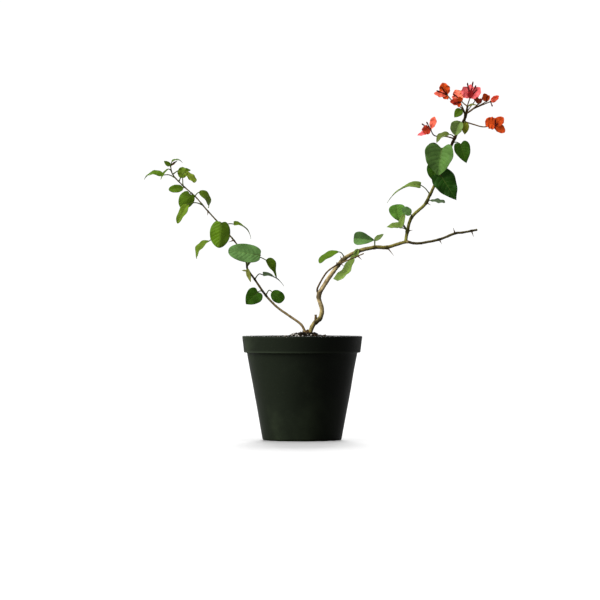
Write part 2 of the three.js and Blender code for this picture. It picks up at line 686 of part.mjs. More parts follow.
// The trunk with its crown, its thorns and the stub of a cut shoot.
function trunkSolid(grown = 0) {
  const stub = stalkAlong(
    [point(18.5, 0, 175), point(20.3, -0.5, 181), point(20.4, -0.5, 188)],
    2 + grown,
    1.7 + grown,
    2,
  );
  const thorns = grown ? [] : growth("trunk", LIMBS.trunk);
  return join([stretch(LIMBS.trunk, null, null, grown), crownSolid(grown), stub, ...thorns]);
}

const trunk = trunkSolid();
const roundTrunk = trunkSolid(GAP);
const { left, upper, bare, side, trunk: main } = LIMBS;
const cutFlat = (solid, height) =>
  solid.subtract(solidOf(new THREE.BoxGeometry(80, 80, 80).translate(0, 0, height - 40)));

addMesh("pot", potSolid(), "pot");
addMesh("potting_soil", clearOf(soilSolid(), [roundTrunk]), "soil");
addMesh("trunk", cutFlat(trunk, 157.4), "bark");
addMesh("left_stem", clearOf(stretch(left, null, CUTS.leftStem), [roundTrunk]), "bark");
const bareBranch = join([stretch(bare, null, null), ...growth("bare", bare)]);
addMesh("bare_branch", clearOf(bareBranch, [roundTrunk]), "bark");
const sideTwig = join([stretch(side, null, null), ...growth("side", side)]);
addMesh("side_twig", clearOf(sideTwig, [roundTrunk]), "bark");

const roundBare = stretch(bare, null, null, GAP);
const bough = join([stretch(upper, null, CUTS.upperBough), ...growth("upper", upper)]);
addMesh("upper_bough", clearOf(bough, [roundTrunk, roundBare]), "greenwood");

// The masses: each holds its own stretch of limb, or meets its limb at the foot of its stalks.
const MASSES = [
  ["left_lower_foliage", "leftLower", left, CUTS.leftStem, CUTS.leftLower],
  ["left_middle_foliage", "leftMiddle", left, CUTS.leftLower, CUTS.leftMiddle],
  ["left_tip_foliage", "leftTip", left, CUTS.leftMiddle, null],
  ["right_middle_foliage", "rightMiddle", upper, CUTS.upperBough, CUTS.rightMiddle],
];
for (const [name, key, stem, from, to] of MASSES)
  addMesh(name, join([stretch(stem, from, to), ...growth(key, stem)]), "leaf");

const SPRAYS = [
  ["trunk_left_spray", "trunkLeft", main, roundTrunk],
  ["trunk_middle_spray", "trunkMiddle", main, roundTrunk],
  ["trunk_right_spray", "trunkRight", main, roundTrunk],
  ["bough_lower_spray", "bough", upper, stretch(upper, null, null, GAP)],
  ["bough_upper_spray", "boughUpper", upper, stretch(upper, null, null, GAP)],
];
for (const [name, key, stem, clearance] of SPRAYS)
  addMesh(name, clearOf(join(growth(key, stem)), [clearance]), "leaf");

const top = { z: 473 };
const rightTop = join([stretch(upper, CUTS.rightMiddle, top), ...growth("rightTop", upper)]);
addMesh("right_top_foliage", rightTop, "leaf");
const blossom = join([stretch(upper, top, null), ...growth("blossom", upper)]);
addMesh("blossom_cluster", blossom, "bract");

export default group;
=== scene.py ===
"""The looks of a young bougainvillea in a nursery pot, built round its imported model."""
import functools
import math

import bpy
import numpy as np
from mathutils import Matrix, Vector


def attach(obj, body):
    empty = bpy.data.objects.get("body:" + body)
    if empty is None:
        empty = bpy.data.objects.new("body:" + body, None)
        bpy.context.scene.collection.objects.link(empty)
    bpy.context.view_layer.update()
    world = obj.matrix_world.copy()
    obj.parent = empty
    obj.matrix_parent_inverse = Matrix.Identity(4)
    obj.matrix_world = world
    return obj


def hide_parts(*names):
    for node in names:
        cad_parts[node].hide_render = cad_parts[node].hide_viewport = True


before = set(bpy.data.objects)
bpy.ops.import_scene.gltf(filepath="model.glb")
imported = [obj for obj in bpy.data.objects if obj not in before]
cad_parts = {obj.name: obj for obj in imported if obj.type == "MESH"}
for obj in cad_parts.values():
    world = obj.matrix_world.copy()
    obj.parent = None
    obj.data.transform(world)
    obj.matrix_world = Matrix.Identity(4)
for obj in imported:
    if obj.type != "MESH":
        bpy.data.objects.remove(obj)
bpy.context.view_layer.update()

# Sizes are in millimetres until a mesh is made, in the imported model's own frame.
MM = 0.001
VIEWER = np.array([0.0, -1.0, 0.0])
UP = np.array([0.0, 0.0, 1.0])

# The camera: level, 5 m in front of the plant, framed as the photograph is.
CAMERA_PLACE = (-0.0032, -5.0, 0.2099)
CAMERA_LENS = 199.7
CAMERA_SENSOR = 36

# The light: an even white surround, a broad soft light high on the left, which is kept off the floor,
# and a weaker one from behind, whose shadow falls in front of the pot. Lights are (from, strength,
# spread in degrees).
SURROUND = 1.04
KEY_LIGHT = ((-0.7, -0.45, 0.66), 8.8, 50)
BACK_LIGHT = ((0.0, 0.87, 0.5), 3.2, 28)
FLOOR_SHADE = 0.7

# The pot.
POT_HEIGHT = 156
RIM_RADIUS = 90
BASE_RADIUS = 59.5
COLLAR_FOOT = 131
COLLAR_FOOT_RADIUS = 87.6
WALL_TOP_RADIUS = 82.8
WALL = 2.2
POT_FLOOR = 3
POT_SIDES = 192
FOOT_WAVES = 16
FOOT_WAVE = 0.5
DRAIN_HOLES = 8
DRAIN_RADIUS = 5
DRAIN_CIRCLE = 44

# The potting mix.
SOIL_EDGE_HEIGHT = 148
SOIL_DISH_HEIGHT = 154.5
MOUND_HEIGHT = 6
MOUND_SPREAD = 22
MOUND_X = 5
SOIL_LUMP = 1.6
SOIL_EDGE_RADIUS = 85.8
SOIL_RINGS = 64
SOIL_SIDES = 200
SOIL_RING_STEP = 1.3
SOIL_DEPTH = 9
CHIPS = 900
CHIP_REACH = SOIL_EDGE_RADIUS * 0.965
CHIP_SIZES = (0.9, 3.4)
BROWN_CHIPS = 0.3
PERLITE = 120
PERLITE_REACH = 80
PERLITE_SIZES = (0.5, 1.4)

# Grains of perlite that lie where the photograph shows them, in front of the crown: (x, y, radius).
PERLITE_BY_FOOT = [
    (-15, -22, 1.3), (-12.4, -20, 1.7), (-9.6, -24, 1.4), (-7.4, -19, 1.6), (-5.6, -22, 1.1),
    (8, -17, 1.3), (14, -15, 1.5), (16.4, -20, 1), (-20, -26, 0.9), (1, -25, 0.9),
]

# The root crown, with its radius at shares of its height, its ridges as (depth, number, phase) and its
# depth beside its width, the stub of a cut shoot and the fork above.
CROWN_X = 8.6
CROWN_FOOT = 155.5
CROWN_HEIGHT = 10
CROWN_RADII = ((0, 9.4), (0.35, 8.1), (0.65, 6), (0.9, 3.2), (1, 0.3))
CROWN_RIDGES = ((0.1, 3, 0.6), (0.07, 7, 2))
CROWN_DEPTH = 0.75
STUB = [(18.3, 0, 174), (20.3, -0.5, 181), (20.4, -0.5, 188)]
STUB_RADII = (2.3, 1.8)
FORK = (158, 4, 297.4)
FORK_RADIUS = 2.7

# What the plant's parts share. The slender tube of a bloom and a bud have radii at shares of their length.
STALK_RADIUS = 0.85
TUBE_RADII = [(0, 0.5), (0.12, 0.95), (0.3, 0.8), (0.6, 0.75), (0.85, 1.15), (0.96, 0.9), (1, 0.25)]
BUD_RADII = [(0, 0.7), (0.2, 1.5), (0.5, 1.8), (0.8, 1.1), (1, 0.2)]
LATERAL_VEINS = 7.5
VEIN_SLANT = 1.9
MIDRIB_SINK = 0.35
MIDRIB_WIDTH = 0.9

# What a blade is like where its row doesn't say: the powers that shape its foot and its tip, its margin's
# waves, how it quilts between its veins and how it crumples. The rest is told above LEAVES.
LEAF_FORM = {
    "foot": 0.5, "tip": 0.92, "thickness": 0.5, "wave": 0.045, "waves": (1.6, 2.6), "quilt": 0.24,
    "crumple": 0.16, "heart": 0, "blunt": 0, "slim": 0, "twist": 0, "flap": 0, "halves": 0, "arch": 0.12,
}
BRACT_FORM = {
    **LEAF_FORM, "foot": 0.62, "tip": 0.72, "thickness": 0.35, "wave": 0.1, "waves": (2.2, 3.2),
    "quilt": 0.13, "crumple": 0.4, "curl": -18, "fold": 14,
}

# A limb has a ring this often, and the map of a long bar is cut into bands of this many rings.
RING_STEP = 0.75
BAND = 40

# Bark and the pot are painted lighter on the side that faces the key light and darker on the other side, as
# painted light and shade.
PAINTED_LIGHT_SIDE = np.array([-0.55, -0.35, 0.76])

# A limb swells and is painted darker, as painted shade, round its nodes and the knots that shoots have left,
# this much and this far.
NODE_SWELL = 0.16
MOST_SWELL = 0.25
SWELL_REACH = 2.6
NODE_SHADE = 0.5
NODE_SHADE_REACH = 3.4
KNOTS = {"trunk": [("z", 177), ("z", 181), ("z", 215), ("z", 220), 54]}

# Scars of fallen leaves: so many rings apart, so high beside the bark's relief, and so far across.
SCAR_STEP = 21
SCAR_HEIGHT = 2.2
SCAR_REACH = 1.25


class Curve:
    """A smooth curve through places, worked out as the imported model's own curves are."""

    def __init__(self, places):
        places = np.array(places, float)
        self.spans = len(places) - 1
        first = 2 * places[0] - places[1]
        last = 2 * places[-1] - places[-2]
        self.held = np.vstack([first, places, last])

    def at(self, shares):
        where = np.clip(np.asarray(shares, float), 0, 1) * self.spans
        span = np.minimum(where.astype(int), self.spans - 1)
        w = (where - span)[..., None]
        before, start, end, after = (self.held[span + step] for step in range(4))
        leaving = (end - before) / 2
        reaching = (after - start) / 2
        place = (2 * w**3 - 3 * w**2 + 1) * start + (w**3 - 2 * w**2 + w) * leaving
        return place + (3 * w**2 - 2 * w**3) * end + (w**3 - w**2) * reaching


def limb(axis, start, end, relief, places, taper=1):
    """A limb: the axis that places on it are given by, its thickness at both ends, the depth of its
    bark's relief, its route and how late it tapers."""
    return {"axis": axis, "start": start, "end": end, "relief": relief, "taper": taper,
            "curve": Curve(places)}


def limb_radius(stem, share):
    return (stem["start"] + (stem["end"] - stem["start"]) * share ** stem["taper"]) / 2


LIMBS = {
    "trunk": limb("x", 6.6, 4.6, 0.3, [
        (11, 0, 158), (14.5, 0, 168), (19, 0, 175.5), (27.2, -1, 183), (29.7, -2, 196),
        (25, -4, 214.5), (30, -6, 227), (46.5, -9, 252), (63, -8, 271.5),
        (85.5, -3, 283.5), (109.5, 1, 289), (127, 3, 289), (147, 4, 295), (158, 4, 297.6),
    ], taper=2.5),
    "left": limb("z", 3.9, 1.5, 0.16, [
        (5, 0, 160), (-1.5, 1, 173), (-20, 6, 186.5), (-37.5, 11, 199), (-54, 14, 216),
        (-72.5, 13, 242.5), (-82, 11, 256), (-84.5, 11, 268), (-97, 16, 292), (-119, 24, 318.5),
        (-144, 33, 346), (-161, 38, 365.7), (-181.4, 40, 384), (-195.6, 41, 399.5), (-199.7, 43, 413.7),
    ]),
    "upper": limb("z", 5, 4, 0.14, [
        (155.5, 4, 297.6), (158, 4, 312), (164.5, 1, 334), (184, -3, 353), (191, -6, 366),
        (198, -8, 381), (215.6, -10, 422.5), (228.4, -16, 452.3), (242, -24, 478.3), (244.8, -28, 490),
    ]),
    "bare": limb("x", 4.2, 3.3, 0.2, [
        (158, 4, 297.6), (168, 8, 295.4), (180, 13, 295.8), (207, 26, 301.3), (231, 38, 310.6),
        (244, 44, 312.3), (265.5, 52, 316.5),
    ]),
    "side": limb("x", 3, 1.8, 0.12, [
        (25, -4, 219), (22.6, -6, 224), (25, -10, 232), (36.8, -16, 251.3), (52, -20.5, 262.5),
        (61.5, -22, 266.5), (75, -23, 272.3), (92.3, -21, 279.5),
    ]),
}

# The trunk's bark along its length, from its foot: 0 is pale and old, and 1 green and young.
TRUNK_TINTS = (0.8, 0.8, 0.8, 0, -0.1, 0.6, 1, 1.2, 1.2)

# The heights at which the two long limbs pass from one sub-part to the next.
LEFT_CUTS = (211, 274, 336)
UPPER_CUTS = (355, 432, 473)


def leaf(tone, at, stalk, blade, roll, curl, fold, **more):
    """One leaf: at is its place on its limb, and stalk is its length, heading and lean, or its route."""
    return {**LEAF_FORM, "tone": tone, "at": at, "stalk": stalk, "blade": blade,
            "roll": roll, "curl": curl, "fold": fold, **more}


# Blades are (length, width, heading, lean). A heading of 0 points right and 90 up, and lean is towards
# the viewer. roll turns the upper side clockwise from the viewer, curl bends the blade back, fold lifts
# its halves, twist turns it along its length, flap turns only its foot, heart sweeps its foot back,
# blunt rounds its tip off, or draws it out below 0, slim narrows its foot, or widens it below 0, wave is
# how wavy its margin is, halves is how much paler one half of it is painted and how much
# darker the other, as painted light and shade, and arch is how high its stalk bows.
LEAVES = {
    "left_lower": [
        leaf("dark", 222, (12, 178, 48), (26, 26, 227, 5), -8, 12, 10, heart=0.05),
        leaf("dark", 217, (11, 28, 10), (22, 19, 320, 5), 8, 22, 10, blunt=0.5, arch=0.45),
        leaf("grey", 241, (15, 29, -20), (41, 11, 2, -12), -66, 62, 26, twist=-24, arch=0.3,
             flap=28, blunt=-1.2, slim=-0.4),
        leaf("yellow", 255, (2.5, 110, 40), (21, 8, 282, 12), 25, 10, 20),
        leaf("yellow", 254, (2, 190, 30), (8.5, 3.2, 172, 10), 30, 15, 10),
        leaf("bluish", 262, (31, 36, 35), (49, 28, 171, 8), 4, 14, 8, blunt=0.5, slim=-0.25, arch=0.3),
        leaf("middle", 261, (30.5, 18, -12), (36, 22, 309, -10), -44, 25, 36, arch=0.3, blunt=-0.9),
    ],
    "left_middle": [
        leaf("middle", 327, (10, 350, 64), (38.5, 32, 266, 14), -6, 14, -12, heart=0.05, blunt=0.35,
             halves=0.5),
        leaf("bright", 312, (34, 205, -28), (38, 20, 203, 0), 54, 74, 16, slim=0.7, blunt=0.1),
        leaf("bright", 319, (20, 20, -32), (40, 10.5, 3, -8), -70, 88, 24, twist=-20, arch=0.15,
             flap=35, blunt=-0.9, slim=-0.4),
    ],
    "left_tip": [
        leaf("bright", 367, (9, 44, -10), (37, 18, 335, -8), -42, 88, 14, blunt=0.2),
        leaf("middle", 372.2, (5.5, 236, 55), (25, 24, 238, 8), -8, 14, -12, heart=0.08, blunt=0.3),
        leaf("bright", 354, (23.5, 179, 24), (33.5, 15, 238, 12), 28, 14, 24, blunt=0.3, wave=0.1),
        leaf("middle", 381.2, (3.5, 230, 35), (22, 13, 184, 10), 12, 14, 14, blunt=0.4),
        leaf("bright", 383.2, (11.5, 92, 10), (17, 15, 92, 8), -8, 18, 14, blunt=0.4, wave=0.12),
        leaf("lime", 389.3, (17.3, 56, 14), (22.5, 11, 324, 0), -26, 22, 12, blunt=0.6, wave=0.12),
        leaf("middle", 400.3, (17, 22, -10), (12, 7, 2, -5), -20, 10, 12),
        leaf("middle", 395.3, (20, 169, -10), (34, 13, 149, 5), 62, 98, 12, flap=-35),
        leaf("middle", 405.5, (6, 150, 25), (20.5, 5.5, 217, 15), 55, 46, 15),
        leaf("middle", 412, (2, 120, 15), (11.5, 7.5, 143, 12), 0, 15, 18),
        leaf("russet", 412, (2, 60, -20), (12, 5, 36, -10), -40, -10, 20),
        leaf("middle", 413, (6.5, 72, 0), (20, 7.5, 44, 0), -62, 104, 12),
    ],
    "trunk_left": [
        leaf("middle", 64.2, (14.5, 136, 15), (34, 16, 193, 10), 52, 42, 12, blunt=0.6, arch=0.2),
    ],
    "trunk_middle": [
        leaf("light", 84, (7, 100, 62), (14.5, 9, 251, 5), 20, 12, 14, blunt=0.3),
        leaf("light", 84, [(-0.8, -5.2, 2.7), (-7, -9.6, -5.8)], (50, 25, 259, 4),
             52, -52, 16, blunt=0.85, halves=-0.15),
    ],
    "trunk_right": [
        leaf("bluish", 109, (11, 92, -10), (31.5, 24, 174, 10), 10, 18, 30, blunt=0.62, slim=0.9,
             halves=-0.35),
        leaf("pale", 109, (10.5, 86, -10), (17.5, 9, 42, -14), -30, 16, 14),
    ],
    "bough": [
        leaf("light", 314, (13, 141, 10), (22, 12, 182, 12), 40, 16, 14),
        leaf("light", 314, (15, 161, 34), (25, 10, 74, 2), -20, 12, 14),
        leaf("fresh", 314, (20.5, 132, 10), (25, 26, 97, 6), -6, 14, 12, blunt=0.5, slim=0.7),
    ],
    "bough_upper": [
        leaf("bluish", 334, (12.5, 112, 68), (16.5, 14, 142, 10), 20, 16, 16, blunt=0.3),
    ],
    "right_middle": [
        leaf("light", 368, (20, 135, 5), (61, 12, 174, 8), 78, 70, 26, twist=12, arch=0.1,
             flap=-80, blunt=-0.8, slim=-0.4),
        leaf("grey", 359, (5, 2, 10), (22, 9, 358, 4), -44, 14, 14, blunt=0.6, wave=0.12),
        leaf("darkest", 388, (15, 55, 45), (44.5, 35, 303, 3), -4, 12, 10, heart=0.1, wave=0.09, blunt=-0.15),
        leaf("dark", 404, (15, 130, -35), (25, 24, 262, -8), 6, 10, 10, heart=0.06),
        leaf("jade", 429, (17, 140, 43), (41.5, 52, 261.5, 4), 16, 10, 32, heart=0.11, halves=-0.35),
    ],
    "right_top": [
        leaf("dark", 446, (13, 346, 25), (30, 26, 288, 4), -6, 14, 18, heart=0.08, blunt=-0.15),
        leaf("dull", 453, (10, 150, 12), (25, 17, 176, 10), 58, 86, 12, blunt=0.5),
        leaf("pale", 467, (13, 93, 42), (22, 25, 249, 6), 18, 14, 38, blunt=0.3, halves=-0.1),
    ],
    "blossom": [
        leaf("olive", 476, (6, 340, 60), (18, 13, 268, 0), 0, 12, 25),
        leaf("middle", 485, (12.8, 125, 25), (16, 13, 229, 10), 4, 12, 14),
        leaf("yellow", 488.6, [(2.3, -1, 6), (3.8, -2, 11)], (14, 5.5, 26, 10), -50, 55, 16),
    ],
}

# Thorns: where each stands on its limb, then its length, heading and lean.
THORNS = {
    "trunk": [(127.5, (13, 312, 10)), (60, (7, 110, -25))],
    "bare": [(207, (6, 300, 15)), (231.5, (8.5, 107, -10)), (257, (7.5, 290, 5))],
    "side": [(52, (4.5, 95, 20)), (57, (6, 325, 20)), (83, (7, 322, 10))],
    "upper": [(313, (6.5, 20, 10)), (356, (6, 335, 25))],
    "left_middle": [(300, (8, 196, 20))],
    "left_tip": [(344, (5, 262, 15))],
}

# Blooms: where each stands on its limb, the route of its stalk from there, its bracts as (tone, length,
# width, heading, lean, roll), some with how slim the foot is and how blunt the tip is, and its tubes as
# (length, heading, lean).
BLOOMS = {
    "blossom": [
        (487.6, [(-6, 2, 9), (-19.5, 7, 20), (-27.5, 10, 29.5)],
         [("salmon", 20, 11, 178, 6, 22), ("orange", 19, 18, 108, 2, -22),
          ("orange", 8, 12, 232, 10, 10)], [(19, 160, 25), (16, 128, 30), (15, 100, 5)]),
        (488.6, [(2, 2, 10), (-3.7, 5, 16), (-8.7, 5, 22)],
         [("coral", 15, 15, 118, -8, 0), ("coral", 14, 13, 66, -4, -16),
          ("salmon", 12, 9, 166, -10, 10)], [(14, 145, 25)]),
        (487.6, [(-5.4, -8, 10), (-8.4, -12, 17)],
         [("scarlet", 17, 11, 180, 15, 10), ("orange", 9, 9, 100, 20, 0), ("orange", 9, 6, 248, 20, 20)],
         [(13, 190, 35)]),
        (488.6, [(1.8, -3.2, 10), (6, -5.2, 23)],
         [("pink", 20, 17, 126, 10, 12), ("pink", 21, 15, 86, -25, 0),
          ("pink", 22, 17, 42, 10, -12), ("crimson", 16, 10, 86, 40, 4)],
         [(24, 101, 18), (25.5, 80, 14), (22, 65, 22), (19, 50, 12)]),
        (487.6, [(10.6, -5.4, 7), (18.6, -9.4, 15)],
         [("maroon", 11, 7, 112, 20, 15), ("maroon", 10, 7, 62, 30, -10)], []),
        (487.6, [(11.6, -1.4, 8.5), (22.6, -1, 14), (31, 1, 19)],
         [("orange", 13, 11, 108, 15, 6), ("orange", 10, 7, 62, 5, -25)], [(10, 84, 20)]),
        (487.6, [(11.6, 5, 8), (24.6, 10, 14), (38, 14, 19.5)],
         [("scarlet", 15, 9, 32, 5, -15), ("salmon", 10, 6, 20, 20, 20)], [(8, 290, 10)]),
        (477, [(13.7, -4.4, -4.5), (29.7, -10.4, -8.8), (46.5, -14.4, -5.5)],
         [("orange", 16, 20, 167, 6, 16, -0.75, 0.5), ("orange", 16, 15, 38, 6, -6, -0.4, 0.2),
          ("orange", 18, 14, 320, -12, -6, -0.4, 0.2)], [(9, 92, 40), (9, 262, 45), (8, 10, 60)]),
    ],
    "right_top": [
        (451.5, [(-12.6, 12, 4), (-29, 12, 5), (-35.2, 7, 13.5)],
         [("salmon", 21, 11, 71, 10, -15, 0.7), ("scarlet", 16, 15, 184, 24, 10),
          ("pink", 22, 8, 207, 5, 25)], [(17, 146, 12), (14, 118, 10)]),
    ],
}

# Closed buds: where each stands on its limb, the route of its stalk, and the bud as (length, heading, lean).
BUDS = {
    "blossom": [
        (487.6, [(11.6, -6.4, 9), (20.6, -11.4, 17)], (7, 60, 20)),
        (488.6, [(9.3, 3, 13), (14.3, 8, 19)], (8, 95, -10)),
    ],
}

# The tables above that each limb carries.
CARRIES = {
    "trunk": ("trunk", "trunk_left", "trunk_middle", "trunk_right"),
    "left": ("left_lower", "left_middle", "left_tip"),
    "upper": ("upper", "bough", "bough_upper", "right_middle", "right_top", "blossom"),
    "bare": ("bare",),
    "side": ("side",),
}

# A colour below is what a surface shows in this light, and its own colour is this share of it.
LIT = 0.36

LEAF_TONES = {
    "darkest": (28, 74, 0),
    "dark": (54, 101, 4),
    "middle": (90, 126, 8),
    "bright": (108, 138, 24),
    "lime": (158, 184, 56),
    "light": (124, 152, 66),
    "fresh": (102, 156, 54),
    "jade": (87, 126, 56),
    "dull": (98, 114, 44),
    "pale": (128, 156, 80),
    "bluish": (100, 142, 74),
    "grey": (102, 126, 88),
    "yellow": (144, 150, 66),
    "olive": (138, 144, 30),
    "russet": (104, 72, 40),
}

# A leaf's veins and its underside are its own colour with this share of another.
VEIN_TONE, VEIN_SHARE = (150, 175, 80), 0.4
UNDER_TONE, UNDER_SHARE = (140, 160, 110), 0.28

# Bracts are thin enough for light to come through, so they are this much brighter.
BRACT_GLOW = 1.75
BRACT_TONES = {
    "orange": (194, 70, 20),
    "scarlet": (196, 62, 36),
    "coral": (255, 130, 100),
    "salmon": (240, 106, 82),
    "pink": (242, 106, 108),
    "crimson": (190, 44, 46),
    "maroon": (122, 46, 22),
}

# Bark, stalks and the skins of buds as (young, old, fleck), or as (skin, fleck).
BARK_TONES = {
    "bark_trunk": ((134, 124, 62), (226, 200, 146), (86, 64, 32)),
    "bark_left": ((82, 78, 42), (166, 140, 96), (70, 54, 30)),
    "bark_bough": ((124, 116, 54), (148, 146, 68), (74, 66, 26)),
    "bark_bare": ((108, 100, 60), (98, 86, 52), (46, 38, 22)),
    "bark_side": ((136, 112, 68), (92, 72, 44), (54, 40, 26)),
    "stem_dark": ((104, 74, 40), (112, 88, 46), (56, 38, 22)),
    "stalk_green": ((88, 104, 46), (66, 74, 34)),
    "stalk_brown": ((92, 84, 44), (62, 54, 32)),
    "thorn": ((104, 84, 56), (58, 42, 28)),
    "tube_dark": ((112, 22, 22), (58, 12, 14)),
    "receptacle": ((96, 72, 36), (60, 44, 26)),
    "cut_wood": ((150, 126, 84), (86, 66, 42)),
}

# The pot's plastic, its rubbed patches, its grain and the painted highlight along its collar's foot and its
# lip.
POT_TONES = ((17, 21, 14), (32, 38, 26), (42, 48, 36), (70, 80, 62))

# What the mix is made of as (dark, light, fineness).
EARTH_TONES = {
    "peat": ((16, 14, 10), (36, 30, 22), 420),
    "chip_dark": ((22, 18, 14), (44, 36, 26), 300),
    "chip_brown": ((46, 36, 24), (80, 62, 42), 300),
    "perlite": ((196, 190, 178), (236, 232, 222), 500),
}


def shown(red, green, blue):
    """The own colour of a surface that shows these display values, from 0 to 255, in the scene's light."""

    def one(value):
        value /= 255
        return value / 12.92 if value <= 0.04045 else ((value + 0.055) / 1.055) ** 2.4

    return (LIT * one(red), LIT * one(green), LIT * one(blue), 1.0)


def direction(heading, lean):
    """The unit vector of a heading in the picture's plane and a lean towards the viewer, in degrees."""
    h, l = math.radians(heading), math.radians(lean)
    return np.array([math.cos(h) * math.cos(l), -math.sin(l), math.sin(h) * math.cos(l)])


def unit(vectors):
    return vectors / np.linalg.norm(vectors, axis=-1, keepdims=True)


def turned(vectors, axes, degrees):
    """Vectors turned about unit axes."""
    angle = np.radians(np.asarray(degrees, float))[..., None]
    beside = np.cross(axes, vectors)
    along = axes * np.sum(axes * vectors, axis=-1, keepdims=True)
    return vectors * np.cos(angle) + beside * np.sin(angle) + along * (1 - np.cos(angle))


def rough(places, size, seed, octaves=3):
    """A smooth wandering value of about -1 to 1 at each place, always the same for a place and seed."""
    rng = np.random.default_rng(seed)
    total = np.zeros(places.shape[:-1])
    for octave in range(octaves):
        for _ in range(5):
            wave = unit(rng.normal(size=3)) * 2 * math.pi * 2**octave / size
            total += np.sin(places @ wave + rng.uniform(0, 2 * math.pi)) / 2**octave / 3
    return total


def share_at(stem, at):
    """The share of a limb's route at which it reaches a value on its own axis, or on the axis given."""
    axis, value = at if isinstance(at, tuple) else (stem["axis"], at)
    shares = np.linspace(0, 1, stem["curve"].spans * 20 + 1)
    reached = stem["curve"].at(shares)[:, "xyz".index(axis)] - value
    i = int(np.argmax(reached[:-1] * reached[1:] <= 0))
    return shares[i] + (shares[i + 1] - shares[i]) * reached[i] / (reached[i] - reached[i + 1])


def grid(rows, sides, columns=None):
    """The faces between rings of places, and their corners on a map with this value for each ring, and
    for each side where they aren't evenly spaced."""
    columns = np.linspace(0, 1, sides + 1) if columns is None else columns
    r, c = (n.ravel() for n in np.meshgrid(np.arange(len(rows) - 1), np.arange(sides), indexing="ij"))
    ring = np.stack([r, r, r + 1, r + 1], 1)
    side = np.stack([c, c + 1, c + 1, c], 1)
    return ring * sides + side % sides, np.stack([rows[ring], columns[side]], 2)


def lids(sides, rings, slot, corners=None):
    """The faces that shut the two ends of a tube of rings, which are one place on the map if not given."""
    corners = np.full((1, sides, 2), 0.5) if corners is None else corners
    ring = np.arange(sides)[None]
    return [(ring[:, ::-1], corners, slot), ((rings - 1) * sides + ring, corners, slot)]


def in_scene(name, data):
    made = bpy.data.objects.new(name, data)
    bpy.context.scene.collection.objects.link(made)
    return made


class Piece:
    """A mesh in the making: patches of places, whose groups of faces each have a slot and a map cell."""

    def __init__(self, name):
        self.name = name
        self.patches = []

    def add(self, places, groups, tint=0.5, painted_light=0.5):
        """groups are (faces, corners, slot), where corners are each corner's place on the map."""
        places = places.reshape(-1, 3)
        count = len(places)
        self.patches.append((places, groups, np.broadcast_to(tint, count), np.broadcast_to(painted_light, count)))

    def made(self, smooth=True):
        """The finished object, with the map of its shape and the map that its colours are baked on."""
        slots = list(dict.fromkeys(group[2] for patch in self.patches for group in patch[1]))
        cells = sum(len(patch[1]) for patch in self.patches)
        columns = math.ceil(math.sqrt(cells))
        loops, totals, numbers, shape_map, bake_map = [], [], [], [], []
        offset = cell = 0
        for places, groups, _, _ in self.patches:
            for faces, corners, slot in groups:
                flat = corners.reshape(-1, 2)
                low, high = flat.min(0), flat.max(0)
                inside = (flat - low) / np.maximum(high - low, 1e-9)
                corner = np.array([cell % columns, cell // columns])
                loops.append(faces.ravel() + offset)
                totals += [faces.shape[1]] * len(faces)
                numbers += [slots.index(slot)] * len(faces)
                shape_map.append(flat)
                bake_map.append((corner + 0.05 + 0.9 * inside) / columns)
                cell += 1
            offset += len(places)
        mesh = bpy.data.meshes.new(self.name)
        mesh.vertices.add(offset)
        mesh.vertices.foreach_set("co", np.vstack([patch[0] for patch in self.patches]).ravel() * MM)
        mesh.loops.add(len(np.concatenate(loops)))
        mesh.loops.foreach_set("vertex_index", np.concatenate(loops))
        mesh.polygons.add(len(totals))
        mesh.polygons.foreach_set("loop_start", np.cumsum([0] + totals[:-1]))
        mesh.update(calc_edges=True)
        for name, values in (("Shape", shape_map), ("OFBake", bake_map)):
            layer = mesh.uv_layers.new(name=name)
            layer.data.foreach_set("uv", np.vstack(values).astype(np.float32).ravel())
        for name, number in (("tint", 2), ("painted_light", 3)):
            values = mesh.attributes.new(name, "FLOAT", "POINT")
            values.data.foreach_set("value", np.concatenate([patch[number] for patch in self.patches]))
        for slot in slots:
            mesh.materials.append(material_named(slot))
        mesh.polygons.foreach_set("material_index", numbers)
        mesh.polygons.foreach_set("use_smooth", [smooth] * len(totals))
        mesh.validate()
        return in_scene(self.name, mesh)


def circle(sides):
    """The angles of the corners of a ring."""
    return np.arange(sides) * 2 * math.pi / sides


def around(turn, *up):
    """Places on the unit circle at these angles, with a third value where one is given."""
    return np.stack([np.cos(turn), np.sin(turn), *up], -1)


def outward(route, sides):
    """The directions out from a route at each side of the rings round it, turned as little as can be."""
    along = unit(np.gradient(route, axis=0))
    across = np.array([0.0, 1, 0]) if abs(along[0][1]) < 0.9 else np.array([1.0, 0, 0])
    acrosses = []
    for step in along:
        across = unit(across - step * np.dot(across, step))
        acrosses.append(across)
    spans = np.stack([acrosses, np.cross(along, acrosses)], 1)
    return np.einsum("sk,rkx->rsx", around(circle(sides)), spans)


def run_along(places):
    """How far along a route each of its places lies."""
    return np.concatenate([[0], np.cumsum(np.linalg.norm(np.diff(places, axis=0), axis=1))])


def bell(away, width):
    """A swelling that is 1 where away is 0 and has all but gone at twice its width."""
    return np.exp(-((away / width) ** 2))


